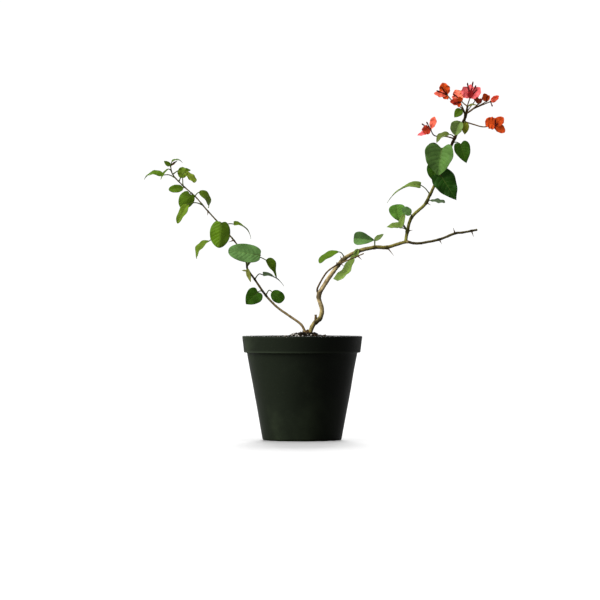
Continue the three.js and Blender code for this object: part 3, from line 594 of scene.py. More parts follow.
def tube(piece, route, radii, slot, sides, tint=0.5, cut=None, node_shade=0.0):
    """A bar round a route. radii has one value a ring, or one for each side of each ring."""
    out = outward(route, sides)
    radii = np.asarray(radii, float)
    radii = radii[:, None] if radii.ndim == 1 else radii
    places = route[:, None] + out * np.broadcast_to(radii, out.shape[:2])[..., None]
    faces, corners = grid(run_along(route), sides)
    groups = []
    for start in range(0, len(route) - 1, BAND):
        part = slice(start * sides, (start + BAND) * sides)
        groups.append((faces[part], corners[part], slot))
    disc = around(circle(sides))[None] / 2 + 0.5
    groups += lids(sides, len(route), slot, disc)[:1 if cut else 2]
    # Painted light and shade: each ring is painted lighter on the side that faces the key light and darker on
    # the other, with painted shade taken off round nodes.
    painted_light = 0.5 + 0.5 * out @ PAINTED_LIGHT_SIDE - np.broadcast_to(node_shade, len(route))[:, None]
    piece.add(places, groups, np.repeat(np.broadcast_to(tint, len(route)), sides), painted_light.ravel())
    if cut:
        piece.add(places[-1], [(np.arange(sides)[None], disc, cut)])


def limb_tube(piece, name, start, end, slot, sides, tint, cut=None):
    """A stretch of a limb with its bark's relief, its swollen nodes and the scars of fallen leaves."""
    stem = LIMBS[name]
    length = run_along(stem["curve"].at(np.linspace(start, end, 60)))[-1]
    shares = np.linspace(start, end, max(8, int(length / RING_STEP)))
    route = stem["curve"].at(shares)
    radii = limb_radius(stem, shares)
    swollen, node_shade = np.zeros(len(shares)), np.zeros(len(shares))
    # Each node swells the limb and adds painted shade that darkens the bark round it.
    for share in node_shares(name):
        gap = np.linalg.norm(route - stem["curve"].at(share), axis=1)
        swollen += NODE_SWELL * bell(gap, SWELL_REACH)
        node_shade += NODE_SHADE * bell(gap, NODE_SHADE_REACH)
    radii = radii * (1 + np.minimum(swollen, MOST_SWELL))
    surface = route[:, None] + outward(route, sides) * radii[:, None, None]
    seed = sorted(LIMBS).index(name) + 11
    relief = 0.5 * rough(surface, 9, seed) + 0.5 * rough(surface, 2.6, seed + 20)
    streaks = surface * np.array([2.4, 2.4, 0.25])
    relief += 0.35 * rough(streaks, 3, seed + 40) + scars(surface, len(name) * 7 + 3)
    full = radii[:, None] + stem["relief"] * relief
    tints = np.interp(np.linspace(0, 1, len(shares)), np.linspace(0, 1, len(tint)), tint)
    tube(piece, route, full, slot, sides, tints, cut, node_shade=np.minimum(node_shade, NODE_SHADE))


def node_shares(name):
    """Where leaves, thorns, blooms and shoots leave a limb."""
    ats = list(KNOTS.get(name, []))
    for key in CARRIES[name]:
        ats += [shape["at"] for shape in LEAVES.get(key, [])]
        ats += [row[0] for table in (THORNS, BLOOMS, BUDS) for row in table.get(key, [])]
    return sorted({round(float(share_at(LIMBS[name], at)), 4) for at in ats})


def scars(surface, seed):
    """Low round bumps where leaves have fallen, here and there round a limb."""
    rng = np.random.default_rng(seed)
    rings, sides = surface.shape[:2]
    raised = np.zeros((rings, sides))
    for ring in range(9, rings - 6, SCAR_STEP):
        middle = surface[ring + rng.integers(-4, 5), rng.integers(0, sides)]
        raised += SCAR_HEIGHT * bell(np.linalg.norm(surface - middle, axis=-1), SCAR_REACH)
    return raised


def outline(share, shape):
    """An egg-shaped blade's half width as a share of its widest: blunt at the foot, drawn out at the tip."""
    foot_power = shape["foot"] + 0.6 * shape["slim"]
    tip_power = shape["tip"] * (1 - shape["blunt"])
    offset = 0.06 + 0.6 * shape["heart"] if shape["heart"] else 0.02
    widest = (foot_power - tip_power * offset) / (foot_power + tip_power)

    def at(s):
        return (s + offset) ** foot_power * (1 - s) ** tip_power

    return at(share) / at(widest)


def blade_places(foot, shape, share, side):
    """Places on a blade, the way its upper side faces there, and its half width there."""
    length, width, heading, lean = shape["blade"]
    ahead = direction(heading, lean)
    facing = unit(VIEWER - ahead * np.dot(VIEWER, ahead))
    facing = turned(facing, ahead, shape["roll"])
    lobe = 1.35 * np.sin(0.75 * np.pi * np.abs(side)) ** 1.3
    swept = share - shape["heart"] * lobe * (1 - share) ** 2
    bend = math.radians(shape["curl"]) or 1e-6
    turn = (bend * swept)[..., None]
    here = foot + ahead * length * np.sin(turn) / bend - facing * length * (1 - np.cos(turn)) / bend
    along = ahead * np.cos(turn) - facing * np.sin(turn)
    up = facing * np.cos(turn) + ahead * np.sin(turn)
    up = turned(up, along, shape["twist"] * share + shape["flap"] * (1 - share) ** 3)
    half = np.maximum(0.2, width / 2 * outline(share, shape))
    fold = math.radians(shape["fold"])
    lifted = np.sqrt(side**2 + 0.01) - 0.1
    here = here + np.cross(along, up) * (side * half * math.cos(fold))[..., None]
    here = here + up * (lifted * half * math.sin(fold))[..., None]
    return here, up, half


def blade(piece, foot, shape, upper, under, seed):
    """A blade as one closed skin: out over the upper side and back under, with veins and a wavy margin."""
    length, width = shape["blade"][:2]
    rng = np.random.default_rng(seed)
    steps = np.linspace(0, 1, int(np.clip(length * 1.15, 16, 52)))
    rows = 0.5 * steps + 0.25 * (1 - np.cos(np.pi * steps))
    half_sides = np.linspace(0, 1, int(np.clip(width * 0.6, 7, 20))) ** 1.15
    columns = np.concatenate([-half_sides[::-1], half_sides[1:]])
    share, side = np.meshgrid(rows, columns, indexing="ij")
    here, up, half = blade_places(foot, shape, share, side)
    reach = np.abs(side)
    phase = rng.uniform(0, 2 * math.pi, 4)
    waves = rng.uniform(*shape["waves"])
    ripple = np.sin(2 * math.pi * waves * share + np.where(side < 0, phase[0], phase[1]))
    lift = shape["wave"] * width * reach**2 * ripple * np.sqrt(np.clip(np.sin(np.pi * share), 0, 1))
    vein = share * LATERAL_VEINS - reach * VEIN_SLANT
    quilt = shape["quilt"] * min(1, width / 20)
    lift -= quilt * np.cos(2 * math.pi * vein) * np.minimum(1, reach * 5) * (1 - reach**2)
    lift -= MIDRIB_SINK * min(1, width / 18) * bell(side * half, MIDRIB_WIDTH) * (1 - share)
    local = np.stack([share * length, side * half, np.full_like(share, seed * 3.7)], -1)
    lift += shape["crumple"] * rough(local, 6, seed + 5, 2) * np.minimum(1, 3 * (1 - share))
    thick = shape["thickness"] * (1 - 0.6 * reach**2) / 2
    top = here + up * (lift + thick)[..., None]
    low = here + up * (lift - thick)[..., None]
    top[:, 0] = low[:, 0] = here[:, 0] + up[:, 0] * lift[:, 0, None]
    top[:, -1] = low[:, -1] = here[:, -1] + up[:, -1] * lift[:, -1, None]
    places = np.concatenate([top, low[:, -2:0:-1]], axis=1)
    both = np.concatenate([(columns + 1) / 2, (columns[-2::-1] + 1) / 2])
    wide = len(both) - 1
    faces, corners = grid(rows, wide, both)
    is_top = np.arange(len(faces)) % wide < len(columns) - 1
    groups = [
        (faces[is_top], corners[is_top], upper),
        (faces[~is_top], corners[~is_top], under),
        *lids(wide, len(rows), under),
    ]
    # Painted light and shade: one half of the blade is painted paler and the other darker, as light falls
    # across its fold.
    halves = shape["halves"] * np.tanh(8 * side)
    halves = np.concatenate([halves, halves[:, -2:0:-1]], axis=1)
    piece.add(places, groups, rng.uniform(0.25, 0.75) + halves.ravel())


def from_limb(name, at, steps=()):
    """A place on a limb, and those that lie these steps away from it."""
    stem = LIMBS[name]
    root = stem["curve"].at(share_at(stem, at))
    return [root] + [root + np.array(step, float) for step in steps]


def stalk(stems, route, rings, slot, thick, thinning, swell=0.0, reach=1.0):
    """A stalk, which thins along its route and swells at its foot. Its curve is given back."""
    curve = Curve(route)
    shares = np.linspace(0, 1, rings)
    radii = STALK_RADIUS * (thick - thinning * shares) + swell * bell(shares, reach)
    tube(stems, curve.at(shares), radii, slot, 10)
    return curve


def stalk_route(name, shape):
    """The route of a leaf's stalk from its limb to the foot of its blade."""
    if isinstance(shape["stalk"], list):
        return from_limb(name, shape["at"], shape["stalk"])
    length, heading, lean = shape["stalk"]
    root, foot = from_limb(name, shape["at"], [direction(heading, lean) * length])
    middle = (root + foot) / 2
    middle[2] += shape["arch"] * length
    return [root, middle, foot]


def add_leaf(leaves, stems, name, shape, seed):
    """A leaf: its stalk, the rib that the stalk runs on into under the blade, and the blade."""
    route = stalk_route(name, shape)
    foot = route[-1]
    ribs = np.linspace(0.06, 0.9, 12)
    under, up, _ = blade_places(foot, shape, ribs, np.zeros_like(ribs))
    under = under - up * 0.42
    tone, width = shape["tone"], shape["blade"][1]
    slot = "stalk_brown" if tone in ("russet", "darkest") else "stalk_green"
    stalk(stems, route + [under[0]], 9 * len(route), slot, 1.1, thinning=0.35, swell=0.45, reach=0.09)
    rib = min(0.6, 0.3 + width / 80) * (1 - 0.8 * ribs)
    tube(stems, under, rib, "stalk_green", 8)
    blade(leaves, foot, shape, "leaf_" + tone, "under_" + tone, seed)


def spike(piece, foot, row, radii, slot, sides, hook=0.0, ribs=0.0):
    """A slender closed form from foot, along a length, heading and lean. radii are (share, radius)."""
    length, heading, lean = row
    shares = np.linspace(0, 1, 16)
    ahead = direction(heading, lean)
    route = foot + ahead * (length * shares)[:, None] - UP * (hook * length * shares**2)[:, None]
    profile = np.interp(shares, *zip(*radii))[:, None]
    tube(piece, route, profile * (1 + ribs * np.cos(5 * circle(sides))), slot, sides)


def add_thorns(stems, name, key):
    """The thorns of one table, on a limb: broad where they leave the bark, hooked a little, and sharp."""
    stem = LIMBS[name]
    for at, (length, heading, lean) in THORNS.get(key, []):
        inside = limb_radius(stem, share_at(stem, at))
        whole = length + inside
        swell = inside / whole
        radii = [(0, 1.5), (swell, 1.35), (swell + 0.12, 0.95), (0.6, 0.55), (0.92, 0.22), (1, 0.04)]
        spike(stems, from_limb(name, at)[0], (whole, heading, lean), radii, "thorn", 12, hook=0.1)


def add_bloom(bracts, tubes, stems, name, row, seed):
    """A bloom: its stalk, a small receptacle, papery bracts, and the slender tubes between them."""
    at, via, bract_rows, tube_rows = row
    route = from_limb(name, at, via)
    curve = stalk(stems, route, 30, "stem_dark", 1.4, thinning=0.45, swell=0.35, reach=0.06)
    foot = curve.at(1.0)
    ahead = unit(foot - curve.at(0.9))
    steps = np.linspace(-1, 1, 9)
    tube(stems, foot + ahead * (steps * 1.6)[:, None], 1.5 * np.sqrt(1.02 - steps**2), "receptacle", 12)
    for number, (tone, length, width, heading, lean, roll, *ends) in enumerate(bract_rows):
        form = {**BRACT_FORM, "blade": (length, width, heading, lean), "roll": roll,
                **dict(zip(("slim", "blunt"), ends))}
        start = foot + direction(heading, lean) * 0.6
        blade(bracts, start, form, "bract_" + tone, "bract_" + tone, seed + number)
    for tube_row in tube_rows:
        spike(tubes, foot, tube_row, TUBE_RADII, "tube_dark", 15, ribs=0.12)


def add_bud(tubes, stems, name, at, via, bud):
    """A closed bud on its stalk."""
    curve = stalk(stems, from_limb(name, at, via), 20, "stem_dark", 1, thinning=0.2)
    spike(tubes, curve.at(1.0), bud, BUD_RADII, "tube_dark", 15, ribs=0.1)


def put(tree, kind, inputs=None, **settings):
    """A shader node with its settings, and its inputs as values or as other nodes' outputs."""
    made = tree.nodes.new("ShaderNode" + kind)
    for key, value in settings.items():
        setattr(made, key, value)
    for key, value in (inputs or {}).items():
        if isinstance(value, bpy.types.NodeSocket):
            tree.links.new(value, made.inputs[key])
        else:
            made.inputs[key].default_value = value
    return made


def weighed(tree, value, weight, plus=0.0):
    """A shader value times a weight, with another value added."""
    return put(tree, "Math", {0: value, 1: weight, 2: plus}, operation="MULTIPLY_ADD").outputs[0]


def mixed(tree, factor, first, second, blend="MIX"):
    """One colour laid over another."""
    made = put(tree, "Mix", {0: factor, 6: first, 7: second}, data_type="RGBA", blend_type=blend)
    return made.outputs[2]


def ranged(tree, value, low, high, start=0.0, end=1.0):
    """A value eased from one range into another."""
    inputs = {"Value": value, "From Min": low, "From Max": high, "To Min": start, "To Max": end}
    return put(tree, "MapRange", inputs, interpolation_type="SMOOTHSTEP").outputs[0]


def noise(tree, scale, detail, vector=None):
    """A smooth pattern in the object's own space, or on a vector."""
    vector = vector or put(tree, "TexCoord").outputs["Object"]
    inputs = {"Vector": vector, "Scale": scale, "Detail": detail, "Roughness": 0.6}
    return put(tree, "TexNoise", inputs).outputs["Fac"]


def held(tree, name):
    """A value that the mesh holds at its vertices."""
    return put(tree, "Attribute", attribute_name=name).outputs["Fac"]


def on_map(tree):
    """The two values of the map of the mesh's shape."""
    return put(tree, "SeparateXYZ", {0: put(tree, "UVMap", uv_map="Shape").outputs[0]}).outputs[:2]


def paired(tree, first, second):
    """A place with these two values."""
    return put(tree, "CombineXYZ", {0: first, 1: second}).outputs[0]


def fresh(name, specular):
    """A new material and its node tree."""
    made = bpy.data.materials.new(name)
    made.use_nodes = True
    shader_of(made).inputs["Specular IOR Level"].default_value = specular
    return made, made.node_tree


def shader_of(made):
    return made.node_tree.nodes["Principled BSDF"]


def dressed(made, colour, roughness, height, distance):
    """A material with its colour, its roughness and its relief."""
    bump = put(made.node_tree, "Bump", {"Height": height, "Strength": 1.0, "Distance": distance})
    for key, value in (("Base Color", colour), ("Roughness", roughness), ("Normal", bump.outputs[0])):
        made.node_tree.links.new(value, shader_of(made).inputs[key])
    return made


def scaled(colour, by):
    return tuple(min(1, channel * by) for channel in colour[:3]) + (1.0,)


def blended(first, second, share):
    return tuple((1 - share) * one + share * other for one, other in zip(first, second))


def scaled_socket(tree, colour, by):
    """A colour darkened or lightened in the shader."""
    return mixed(tree, 1.0, colour, (by, by, by, 1.0), "MULTIPLY")


def painted_light_and_shade(tree, colour, low, high, shade, light_factor):
    """A colour with painted shade and painted light: darkened by one factor where the painted light value is
    low and lightened by another where it is high.
    """
    painted_light = ranged(tree, held(tree, "painted_light"), low, high)
    return mixed(tree, painted_light, scaled_socket(tree, colour, shade), scaled_socket(tree, colour, light_factor))


def mottled(tree, scale, weight, tint):
    """A fine patchiness, moved up or down by the mesh's tint."""
    return weighed(tree, noise(tree, scale, 2), weight, weighed(tree, held(tree, "tint"), tint))


def veined(tree, body, vein, strengths, reliefs):
    """A blade's colour with its laterals, midrib and fine net, and the relief of the laterals and net."""
    share, side = on_map(tree)
    reach = put(tree, "Math", {0: weighed(tree, side, 2.0, -1.0)}, operation="ABSOLUTE").outputs[0]
    midrib = ranged(tree, reach, 0.015, 0.06, 1.0, 0.0)
    phase = weighed(tree, share, LATERAL_VEINS, weighed(tree, reach, -VEIN_SLANT))
    near = put(tree, "Math", {0: phase, 1: 0.5}, operation="PINGPONG").outputs[0]
    lateral = ranged(tree, near, 0.02, 0.11, 1.0, 0.0)
    lateral = weighed(tree, lateral, ranged(tree, reach, 0.55, 0.95, 1.0, 0.15))
    spread = paired(tree, weighed(tree, share, 26.0), weighed(tree, side, 22.0))
    net = put(tree, "TexVoronoi", {"Vector": spread, "Scale": 1.0}, feature="DISTANCE_TO_EDGE")
    fine = ranged(tree, net.outputs["Distance"], 0.0, 0.09, 1.0, 0.0)
    for part, strength in zip((lateral, midrib, fine), strengths):
        body = mixed(tree, weighed(tree, part, strength), body, vein)
    return body, weighed(tree, fine, reliefs[1], weighed(tree, lateral, reliefs[0]))


def leaf_material(name, colour, vein, specular):
    """Living leaf: mottled green with paler veins that stand in or out, and a faint sheen."""
    made, tree = fresh(name, specular)
    patchy = mottled(tree, 75, 0.75, 0.35)
    body = mixed(tree, ranged(tree, patchy, 0.2, 0.95), scaled(colour, 0.6), scaled(colour, 1.32))
    body, height = veined(tree, body, vein, (0.16, 0.35, 0.05), (-0.8, -0.4))
    height = weighed(tree, noise(tree, 900, 2), 0.4, height)
    return dressed(made, body, ranged(tree, patchy, 0.2, 0.9, 0.6, 0.42), height, 0.0002)


def bract_material(name, colour):
    """A papery bract: thin colour that pales between darker veins."""
    made, tree = fresh(name, 0.04)
    patchy = mottled(tree, 160, 0.8, 0.3)
    body = mixed(tree, ranged(tree, patchy, 0.3, 0.85), scaled(colour, 0.8), scaled(colour, 1.2))
    dark = scaled((colour[0] * 0.8, colour[1] * 0.4, colour[2] * 0.5), 0.75)
    body, height = veined(tree, body, dark, (0.2, 0.45, 0.08), (0.8, 0.6))
    return dressed(made, body, ranged(tree, patchy, 0.2, 0.9, 0.75, 0.55), height, 0.0002)


def bark_material(name, young, old, fleck):
    """Bark that goes from old to young with the tint, streaked along the limb and flecked with pores."""
    made, tree = fresh(name, 0.04)
    along, across = on_map(tree)
    streak = noise(tree, 1.0, 5, paired(tree, weighed(tree, along, 0.16), weighed(tree, across, 9.0)))
    blotch = noise(tree, 140, 3)
    pores = put(tree, "TexVoronoi", {"Vector": put(tree, "TexCoord").outputs["Object"], "Scale": 420.0})
    pore = ranged(tree, pores.outputs["Distance"], 0.12, 0.3, 1.0, 0.0)
    body = mixed(tree, held(tree, "tint"), old, young)
    body = mixed(tree, ranged(tree, streak, 0.42, 0.64, 0.0, 0.75), body, scaled_socket(tree, body, 0.4))
    body = mixed(tree, ranged(tree, blotch, 0.5, 0.68, 0.0, 0.7), body, fleck)
    body = mixed(tree, weighed(tree, pore, 0.35), body, fleck)
    # Painted light and shade: the bark is painted lighter on its side facing the key light and darker on the
    # other.
    body = painted_light_and_shade(tree, body, 0.2, 0.85, 0.26, 1.3)
    height = weighed(tree, pore, 0.5, streak)
    return dressed(made, body, ranged(tree, blotch, 0.3, 0.7, 0.88, 0.62), height, 0.0004)


def pot_material(name):
    """Black moulded plastic: a fine grain, rubbed patches, a painted highlight along its edges, and painted
    light on the side facing the key light with painted shade on the other.
    """
    made, tree = fresh(name, 0.02)
    own, rubbed, fine, painted_highlight_tone = (shown(*tone) for tone in POT_TONES)
    cloudy, grain = noise(tree, 9, 4), noise(tree, 520, 2)
    body = mixed(tree, ranged(tree, cloudy, 0.45, 0.75), own, rubbed)
    body = mixed(tree, ranged(tree, grain, 0.6, 0.8, 0.0, 0.3), body, fine)
    # A painted highlight along the collar's foot and the lip, then painted light and shade by the side that
    # faces the key light.
    painted_highlight = ranged(tree, held(tree, "tint"), 0.5, 1.0, 0.0, 0.7)
    body = painted_light_and_shade(tree, mixed(tree, painted_highlight, body, painted_highlight_tone), 0.5, 0.85, 0.5, 2.5)
    return dressed(made, body, ranged(tree, cloudy, 0.3, 0.75, 0.42, 0.6), grain, 0.0002)


def earth_material(name, dark, light, scale):
    """Moist bark and peat: crumbly, mottled and dull."""
    made, tree = fresh(name, 0.03)
    crumb = noise(tree, scale, 5)
    body = mixed(tree, ranged(tree, crumb, 0.35, 0.7), dark, light)
    return dressed(made, body, ranged(tree, crumb, 0.3, 0.7, 0.95, 0.75), crumb, 0.0006)


@functools.cache
def material_named(name):
    """The material of a slot, made the first time that it is asked for."""
    kind, _, tone = name.partition("_")
    if kind == "leaf":
        colour = shown(*LEAF_TONES[tone])
        return leaf_material(name, colour, blended(colour, shown(*VEIN_TONE), VEIN_SHARE), 0.05)
    if kind == "under":
        pale = blended(shown(*LEAF_TONES[tone]), shown(*UNDER_TONE), UNDER_SHARE)
        return leaf_material(name, pale, scaled(pale, 1.5), 0.04)
    if kind == "bract":
        return bract_material(name, scaled(shown(*BRACT_TONES[tone]), BRACT_GLOW))
    if name in BARK_TONES:
        tones = [shown(*tone) for tone in BARK_TONES[name]]
        return bark_material(name, tones[0], *tones[-2:])
    if name in EARTH_TONES:
        dark, light, scale = EARTH_TONES[name]
        return earth_material(name, shown(*dark), shown(*light), scale)
    return pot_material(name)


def placed(piece, node, smooth=True):
    """Makes a piece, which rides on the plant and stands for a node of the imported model."""
    if not piece.patches:
        return None
    made = piece.made(smooth)
    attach(made, "root")
    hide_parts(node)
    return made


def grown(node, name, key, stretch=None):
    """Everything that grows on a limb under one name in the tables, with its own stretch of that limb."""
    kinds = {"leaves": "leaf", "stems": "bark", "bracts": "bract", "tubes": "bract"}
    leaves, stems, bracts, tubes = (Piece(f"{node}_{kind}") for kind in kinds)
    if stretch:
        start, end, slot, tint = stretch
        limb_tube(stems, name, start, end, slot, 16, tint)
    seed = sum(ord(letter) for letter in key) * 10
    for number, shape in enumerate(LEAVES.get(key, [])):
        add_leaf(leaves, stems, name, shape, seed + number)
    add_thorns(stems, name, key)
    for number, row in enumerate(BLOOMS.get(key, [])):
        add_bloom(bracts, tubes, stems, name, row, seed + 50 + 5 * number)
    for row in BUDS.get(key, []):
        add_bud(tubes, stems, name, *row)
    for piece, slot in zip((leaves, stems, bracts, tubes), kinds.values()):
        placed(piece, node)


def crown(piece):
    """The root crown that both stems rise from, ridged and flared into the mix."""
    rings, sides = 22, 48
    heights = np.linspace(0, 1, rings)
    turn = circle(sides)
    ridged = sum((deep * np.cos(number * turn + phase) for deep, number, phase in CROWN_RIDGES), 1)
    radius = np.interp(heights, *zip(*CROWN_RADII))[:, None] * ridged
    z = CROWN_FOOT + CROWN_HEIGHT * heights
    places = np.stack([CROWN_X + radius * np.cos(turn), CROWN_DEPTH * radius * np.sin(turn),
                       np.broadcast_to(z[:, None], radius.shape)], -1)
    places[..., 2] += 0.5 * rough(places, 6, 5)
    places[..., :2] += 0.35 * rough(places, 3, 6)[..., None]
    piece.add(places, [(*grid(z, sides), "stem_dark"), *lids(sides, rings, "stem_dark")], 0.4)


def stub(piece):
    """The stub of a cut shoot, with a skin that is rough from side to side and a pale end."""
    rings, sides = 22, 18
    route = Curve(STUB).at(np.linspace(0, 1, rings))
    spread = around(np.arange(sides), np.zeros(sides))
    wobble = 1 + 0.12 * rough(route[:, None] + spread, 5, 77)
    tube(piece, route, np.linspace(*STUB_RADII, rings)[:, None] * wobble, "stem_dark", sides, 0.1, "cut_wood")


def fork(piece):
    """The rounded swelling where the trunk forks."""
    steps = np.linspace(-0.98, 0.98, 18)
    route = np.array(FORK, float) + np.array([1.0, 0, 0.2]) * (steps * FORK_RADIUS)[:, None]
    ring = np.sqrt(1 - steps**2) * FORK_RADIUS
    wobble = 1 + 0.05 * rough(np.stack([steps * 9, ring, steps * 0], -1), 5, 31)
    tube(piece, route, ring * wobble, "bark_trunk", 20)


def bare_limb(node, name, slot, tint, sides=20, end=1, cut=None, extras=()):
    """A limb with nothing on it but its thorns and these extras."""
    piece = Piece(node + "_bark")
    limb_tube(piece, name, 0, end, slot, sides, tint, cut)
    for add in extras:
        add(piece)
    add_thorns(piece, name, name)
    placed(piece, node)


def sloped(first, last, shares):
    """Points of a profile at these shares of the way from one to another."""
    first, last = np.array(first, float), np.array(last, float)
    return [first + (last - first) * share for share in shares]


def pot_profile():
    """The pot's section as (radius, height): out along its underside, up, over the lip and back inside."""
    middle = (0, 20, 40, 54)
    bottom = [(radius, 0) for radius in middle]
    bottom += [(BASE_RADIUS - 1.6, 0), (BASE_RADIUS - 0.6, 0.35), (BASE_RADIUS, 1.5)]
    wall = sloped((BASE_RADIUS, 1.5), (WALL_TOP_RADIUS, COLLAR_FOOT - 1), np.linspace(0.02, 1, 26))
    ledge = [(WALL_TOP_RADIUS + 0.5, COLLAR_FOOT - 0.35), (COLLAR_FOOT_RADIUS - 1.6, COLLAR_FOOT),
             (COLLAR_FOOT_RADIUS - 0.5, COLLAR_FOOT + 0.4), (COLLAR_FOOT_RADIUS, COLLAR_FOOT + 1.6)]
    collar = sloped(ledge[-1], (RIM_RADIUS, POT_HEIGHT - 1.6), np.linspace(0.1, 1, 8))
    rounding = ((0.25, 0.7), (0.8, 0.15), (1.3, 0), (1.9, 0.2), (WALL + 0.1, 0.9))
    lip = [(RIM_RADIUS - inward, POT_HEIGHT - down) for inward, down in rounding]
    inside = [(COLLAR_FOOT_RADIUS - WALL, COLLAR_FOOT + 4), (WALL_TOP_RADIUS - WALL, COLLAR_FOOT + 1),
              (BASE_RADIUS - WALL + 0.4, POT_FLOOR)]
    inside += [(radius, POT_FLOOR) for radius in middle[::-1]]
    return np.vstack([bottom, wall, ledge, collar, lip, inside])


def pot():
    """The pot: a smooth tapering wall, a collar with a rounded lip, and a floor with drain holes."""
    profile = pot_profile()
    radius, height = profile[:, :1], profile[:, 1:]
    turn = circle(POT_SIDES)
    foot = bell(radius - BASE_RADIUS, 3) * (height < 3)
    waved = height + FOOT_WAVE * foot * (0.5 + 0.5 * np.cos(FOOT_WAVES * turn))
    places = np.stack([radius * np.cos(turn), radius * np.sin(turn), waved], -1)
    out = around(turn, np.zeros(POT_SIDES))
    swell = 0.22 * rough(places, 90, 3, 2) + 0.05 * rough(places, 14, 4, 2)
    places += out * (swell * (radius > 50))[..., None]
    # A painted highlight along the outside of the collar's foot and along the lip, carried in the tint.
    painted_highlight = 0.2 * bell(height - COLLAR_FOOT - 1, 1.2) * (radius > WALL_TOP_RADIUS + 2)
    painted_highlight += 0.12 * bell(height - POT_HEIGHT, 0.8)
    # Painted light and shade: the side of the pot that faces the key light is painted lighter.
    painted_light = np.tile(0.5 + 0.5 * out @ PAINTED_LIGHT_SIDE, len(profile))
    piece = Piece("pot_shell")
    skin = [(*grid(run_along(profile), POT_SIDES), "pot_plastic")]
    piece.add(places, skin, np.repeat(0.5 + painted_highlight, POT_SIDES), painted_light)
    made = placed(piece, "pot")
    cut_drains(made)
    made.data.polygons.foreach_set("use_smooth", [True] * len(made.data.polygons))
    made.data.set_sharp_from_angle(angle=math.radians(38))


def cut_drains(made):
    """Cuts the ring of drain holes through the pot's floor."""
    cutter = Piece("drain_cutter")
    for middle in DRAIN_CIRCLE * around(circle(DRAIN_HOLES), np.zeros(DRAIN_HOLES)):
        route = middle + UP * np.linspace(-3, 8, 3)[:, None]
        tube(cutter, route, np.full(3, DRAIN_RADIUS), "pot_plastic", 28)
    tool = cutter.made()
    step = made.modifiers.new("drains", "BOOLEAN")
    step.operation = "DIFFERENCE"
    step.object = tool
    step.solver = "EXACT"
    seen = made.evaluated_get(bpy.context.evaluated_depsgraph_get())
    cut = bpy.data.meshes.new_from_object(seen)
    made.modifiers.clear()
    made.data = cut
    bpy.data.objects.remove(tool)


def soil_height(x, y):
    """The height of the heaped mix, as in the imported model, with finer lumps."""
    radius, turn = np.hypot(x, y), np.arctan2(y, x)
    share = np.clip(radius / SOIL_EDGE_RADIUS, 0, 1)
    heap = (1 - share**2) * (SOIL_DISH_HEIGHT - SOIL_EDGE_HEIGHT)
    heap += MOUND_HEIGHT * bell(np.hypot(x - MOUND_X, y), MOUND_SPREAD)
    lump = SOIL_LUMP * np.sin(0.21 * radius + 3 * turn) * np.cos(0.17 * radius - 5 * turn + 1)
    places = np.stack([x, y, np.zeros_like(x)], -1)
    fine = 0.7 * rough(places, 11, 61) + 0.35 * rough(places, 3.2, 62)
    return SOIL_EDGE_HEIGHT + heap + lump * np.minimum(1, share * 8) * (share < 1) + fine


def chip(rng, size):
    """The corners of one splinter of bark, as a bent and tapered block."""
    corners = np.array([(x, y, z) for z in (-1, 1) for y in (-1, 1) for x in (-1, 1)], float)
    corners *= 1 + rng.uniform(-0.35, 0.25, corners.shape)
    corners *= np.array([size, size * rng.uniform(0.35, 0.7), size * rng.uniform(0.15, 0.3)])
    axis = unit(rng.normal(size=3) * np.array([1, 1, 0.3]))
    flat = turned(corners, UP, np.full(8, rng.uniform(0, 360)))
    return turned(flat, axis, np.full(8, rng.uniform(-40, 40)))


def scattered(rng, reach):
    """A place on the mix within reach of its middle."""
    radius, angle = reach * math.sqrt(rng.uniform(0, 1)), rng.uniform(0, 2 * math.pi)
    return np.array([radius * math.cos(angle), radius * math.sin(angle)])


def ground():
    """The lumpy ground of the heaped mix, and its flat underside within the pot."""
    rings = np.maximum(np.linspace(0.0, 1, SOIL_RINGS) * SOIL_EDGE_RADIUS, 0.05)[:, None]
    turn = circle(SOIL_SIDES)
    x, y = rings * np.cos(turn), rings * np.sin(turn)
    top = np.stack([x, y, soil_height(x, y)], -1)[::-1]
    low = np.stack([x[-1], y[-1], np.full(SOIL_SIDES, SOIL_EDGE_HEIGHT - SOIL_DEPTH)], -1)[None]
    places = np.concatenate([low, top])
    skin = (*grid(np.arange(len(places)) * SOIL_RING_STEP, SOIL_SIDES), "peat")
    piece = Piece("potting_ground")
    piece.add(places, [skin, *lids(SOIL_SIDES, len(places), "peat")])
    placed(piece, "potting_soil")


def chips(rng):
    """Splinters of bark, scattered over the ground."""
    piece = Piece("potting_chips")
    box = np.array([(0, 2, 3, 1), (4, 5, 7, 6), (0, 1, 5, 4), (2, 6, 7, 3), (0, 4, 6, 2), (1, 3, 7, 5)])
    square = np.broadcast_to(np.array([(0, 0), (1, 0), (1, 1), (0, 1)], float), (6, 4, 2))
    for _ in range(CHIPS):
        middle, size = scattered(rng, CHIP_REACH), rng.uniform(*CHIP_SIZES)
        if np.hypot(*middle) + size > SOIL_EDGE_RADIUS:
            continue
        z = soil_height(*middle) + 0.25 * size
        slot = "chip_brown" if rng.uniform() < BROWN_CHIPS else "chip_dark"
        piece.add(chip(rng, size) + np.array([*middle, z]), [(box, square, slot)])
    placed(piece, "potting_soil", smooth=False)


def perlite(rng):
    """White grains of perlite, scattered and by the foot of the plant."""
    piece = Piece("perlite_grains")
    spots = list(PERLITE_BY_FOOT)
    for _ in range(PERLITE):
        spots.append((*scattered(rng, PERLITE_REACH), rng.uniform(*PERLITE_SIZES)))
    rings, sides = 7, 9
    steps = np.linspace(-0.97, 0.97, rings)
    for x, y, size in spots:
        middle = np.array([x, y, soil_height(np.float64(x), np.float64(y)) + 0.5 * size])
        ahead = unit(rng.normal(size=3))
        ring = np.sqrt(1 - steps**2)[:, None] * size * (1 + rng.uniform(-0.25, 0.25, (rings, sides)))
        tube(piece, middle + ahead * (steps * size)[:, None], ring, "perlite", sides)
    placed(piece, "potting_soil")


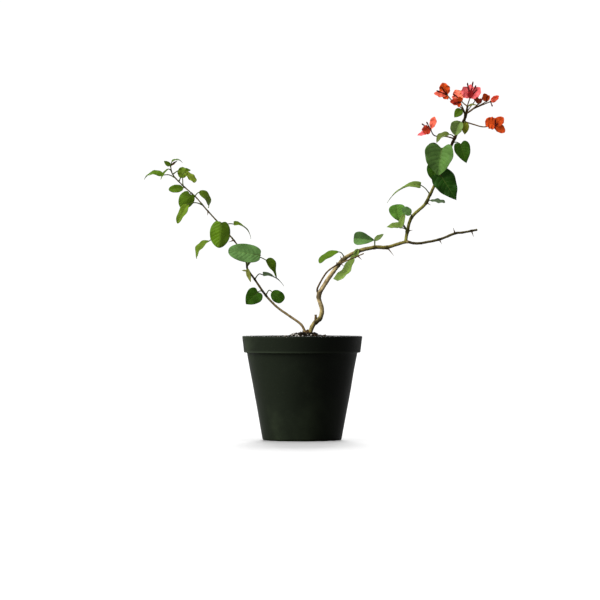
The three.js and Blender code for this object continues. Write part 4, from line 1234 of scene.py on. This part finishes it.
def floor():
    """A plain pale floor, just under the pot."""
    wide, gap = 12.0, -0.0002
    mesh = bpy.data.meshes.new("floor")
    corners = [(-wide, -wide, gap), (wide, -wide, gap), (wide, wide, gap), (-wide, wide, gap)]
    mesh.from_pydata(corners, [], [(0, 1, 2, 3)])
    made, _ = fresh("floor_pale", 0.1)
    shader_of(made).inputs["Base Color"].default_value = (FLOOR_SHADE, FLOOR_SHADE, FLOOR_SHADE, 1)
    shader_of(made).inputs["Roughness"].default_value = 0.9
    mesh.materials.append(made)
    laid = in_scene("floor", mesh)
    return laid


def lamp(name, source, strength, spread):
    """A distant light that comes from source, as soft as its spread in degrees."""
    light = bpy.data.lights.new(name, "SUN")
    light.energy = strength
    light.angle = math.radians(spread)
    holder = in_scene(name, light)
    holder.location = source
    holder.rotation_euler = (-Vector(source)).to_track_quat("-Z", "Y").to_euler()
    return holder


def stage():
    """The floor, an even white surround, the two lights and the camera."""
    laid = floor()
    scene = bpy.context.scene
    scene.world = bpy.data.worlds.new("surround")
    scene.world.use_nodes = True
    surround = scene.world.node_tree.nodes["Background"]
    surround.inputs["Color"].default_value = (1, 1, 1, 1)
    surround.inputs["Strength"].default_value = SURROUND
    key = lamp("key_light", *KEY_LIGHT)
    unlit = bpy.data.collections.new("kept_from_key")
    unlit.objects.link(laid)
    unlit.collection_objects[0].light_linking.link_state = "EXCLUDE"
    key.light_linking.receiver_collection = unlit
    lamp("back_light", *BACK_LIGHT)
    camera = bpy.data.cameras.new("camera")
    camera.lens = CAMERA_LENS
    camera.sensor_width = CAMERA_SENSOR
    camera.clip_end = 100
    eye = in_scene("camera", camera)
    eye.location = CAMERA_PLACE
    eye.rotation_euler = (math.pi / 2, 0, 0)
    scene.camera = eye
    scene.view_settings.view_transform = "Standard"


def cuts(name, heights):
    """The shares of a long limb at which it passes from one sub-part to the next."""
    return [share_at(LIMBS[name], height) for height in heights]


stage()
pot()
ground()
grains = np.random.default_rng(404)
chips(grains)
perlite(grains)
left = cuts("left", LEFT_CUTS)
upper = cuts("upper", UPPER_CUTS)
bare_limb("trunk", "trunk", "bark_trunk", TRUNK_TINTS, 30, extras=(crown, stub, fork))
bare_limb("left_stem", "left", "bark_left", (0, 0.75), end=left[0])
bare_limb("bare_branch", "bare", "bark_bare", (0.2, 0.8), cut="cut_wood")
bare_limb("side_twig", "side", "bark_side", (0, 1), 14)
bare_limb("upper_bough", "upper", "bark_bough", (0, 0.35), end=upper[0])
grown("left_lower_foliage", "left", "left_lower", (left[0], left[1], "bark_left", (0.75, 0.95)))
grown("left_middle_foliage", "left", "left_middle", (left[1], left[2], "bark_left", (0.95, 1)))
grown("left_tip_foliage", "left", "left_tip", (left[2], 1, "bark_left", (1, 0.1)))
for side in ("left", "middle", "right"):
    grown(f"trunk_{side}_spray", "trunk", f"trunk_{side}")
grown("bough_lower_spray", "upper", "bough")
grown("bough_upper_spray", "upper", "bough_upper")
grown("right_middle_foliage", "upper", "right_middle", (upper[0], upper[1], "bark_bough", (0.35, 0.9)))
grown("right_top_foliage", "upper", "right_top", (upper[1], upper[2], "stem_dark", (0.9, 0.6)))
grown("blossom_cluster", "upper", "blossom", (upper[2], 1, "stem_dark", (0.6, 0.2)))
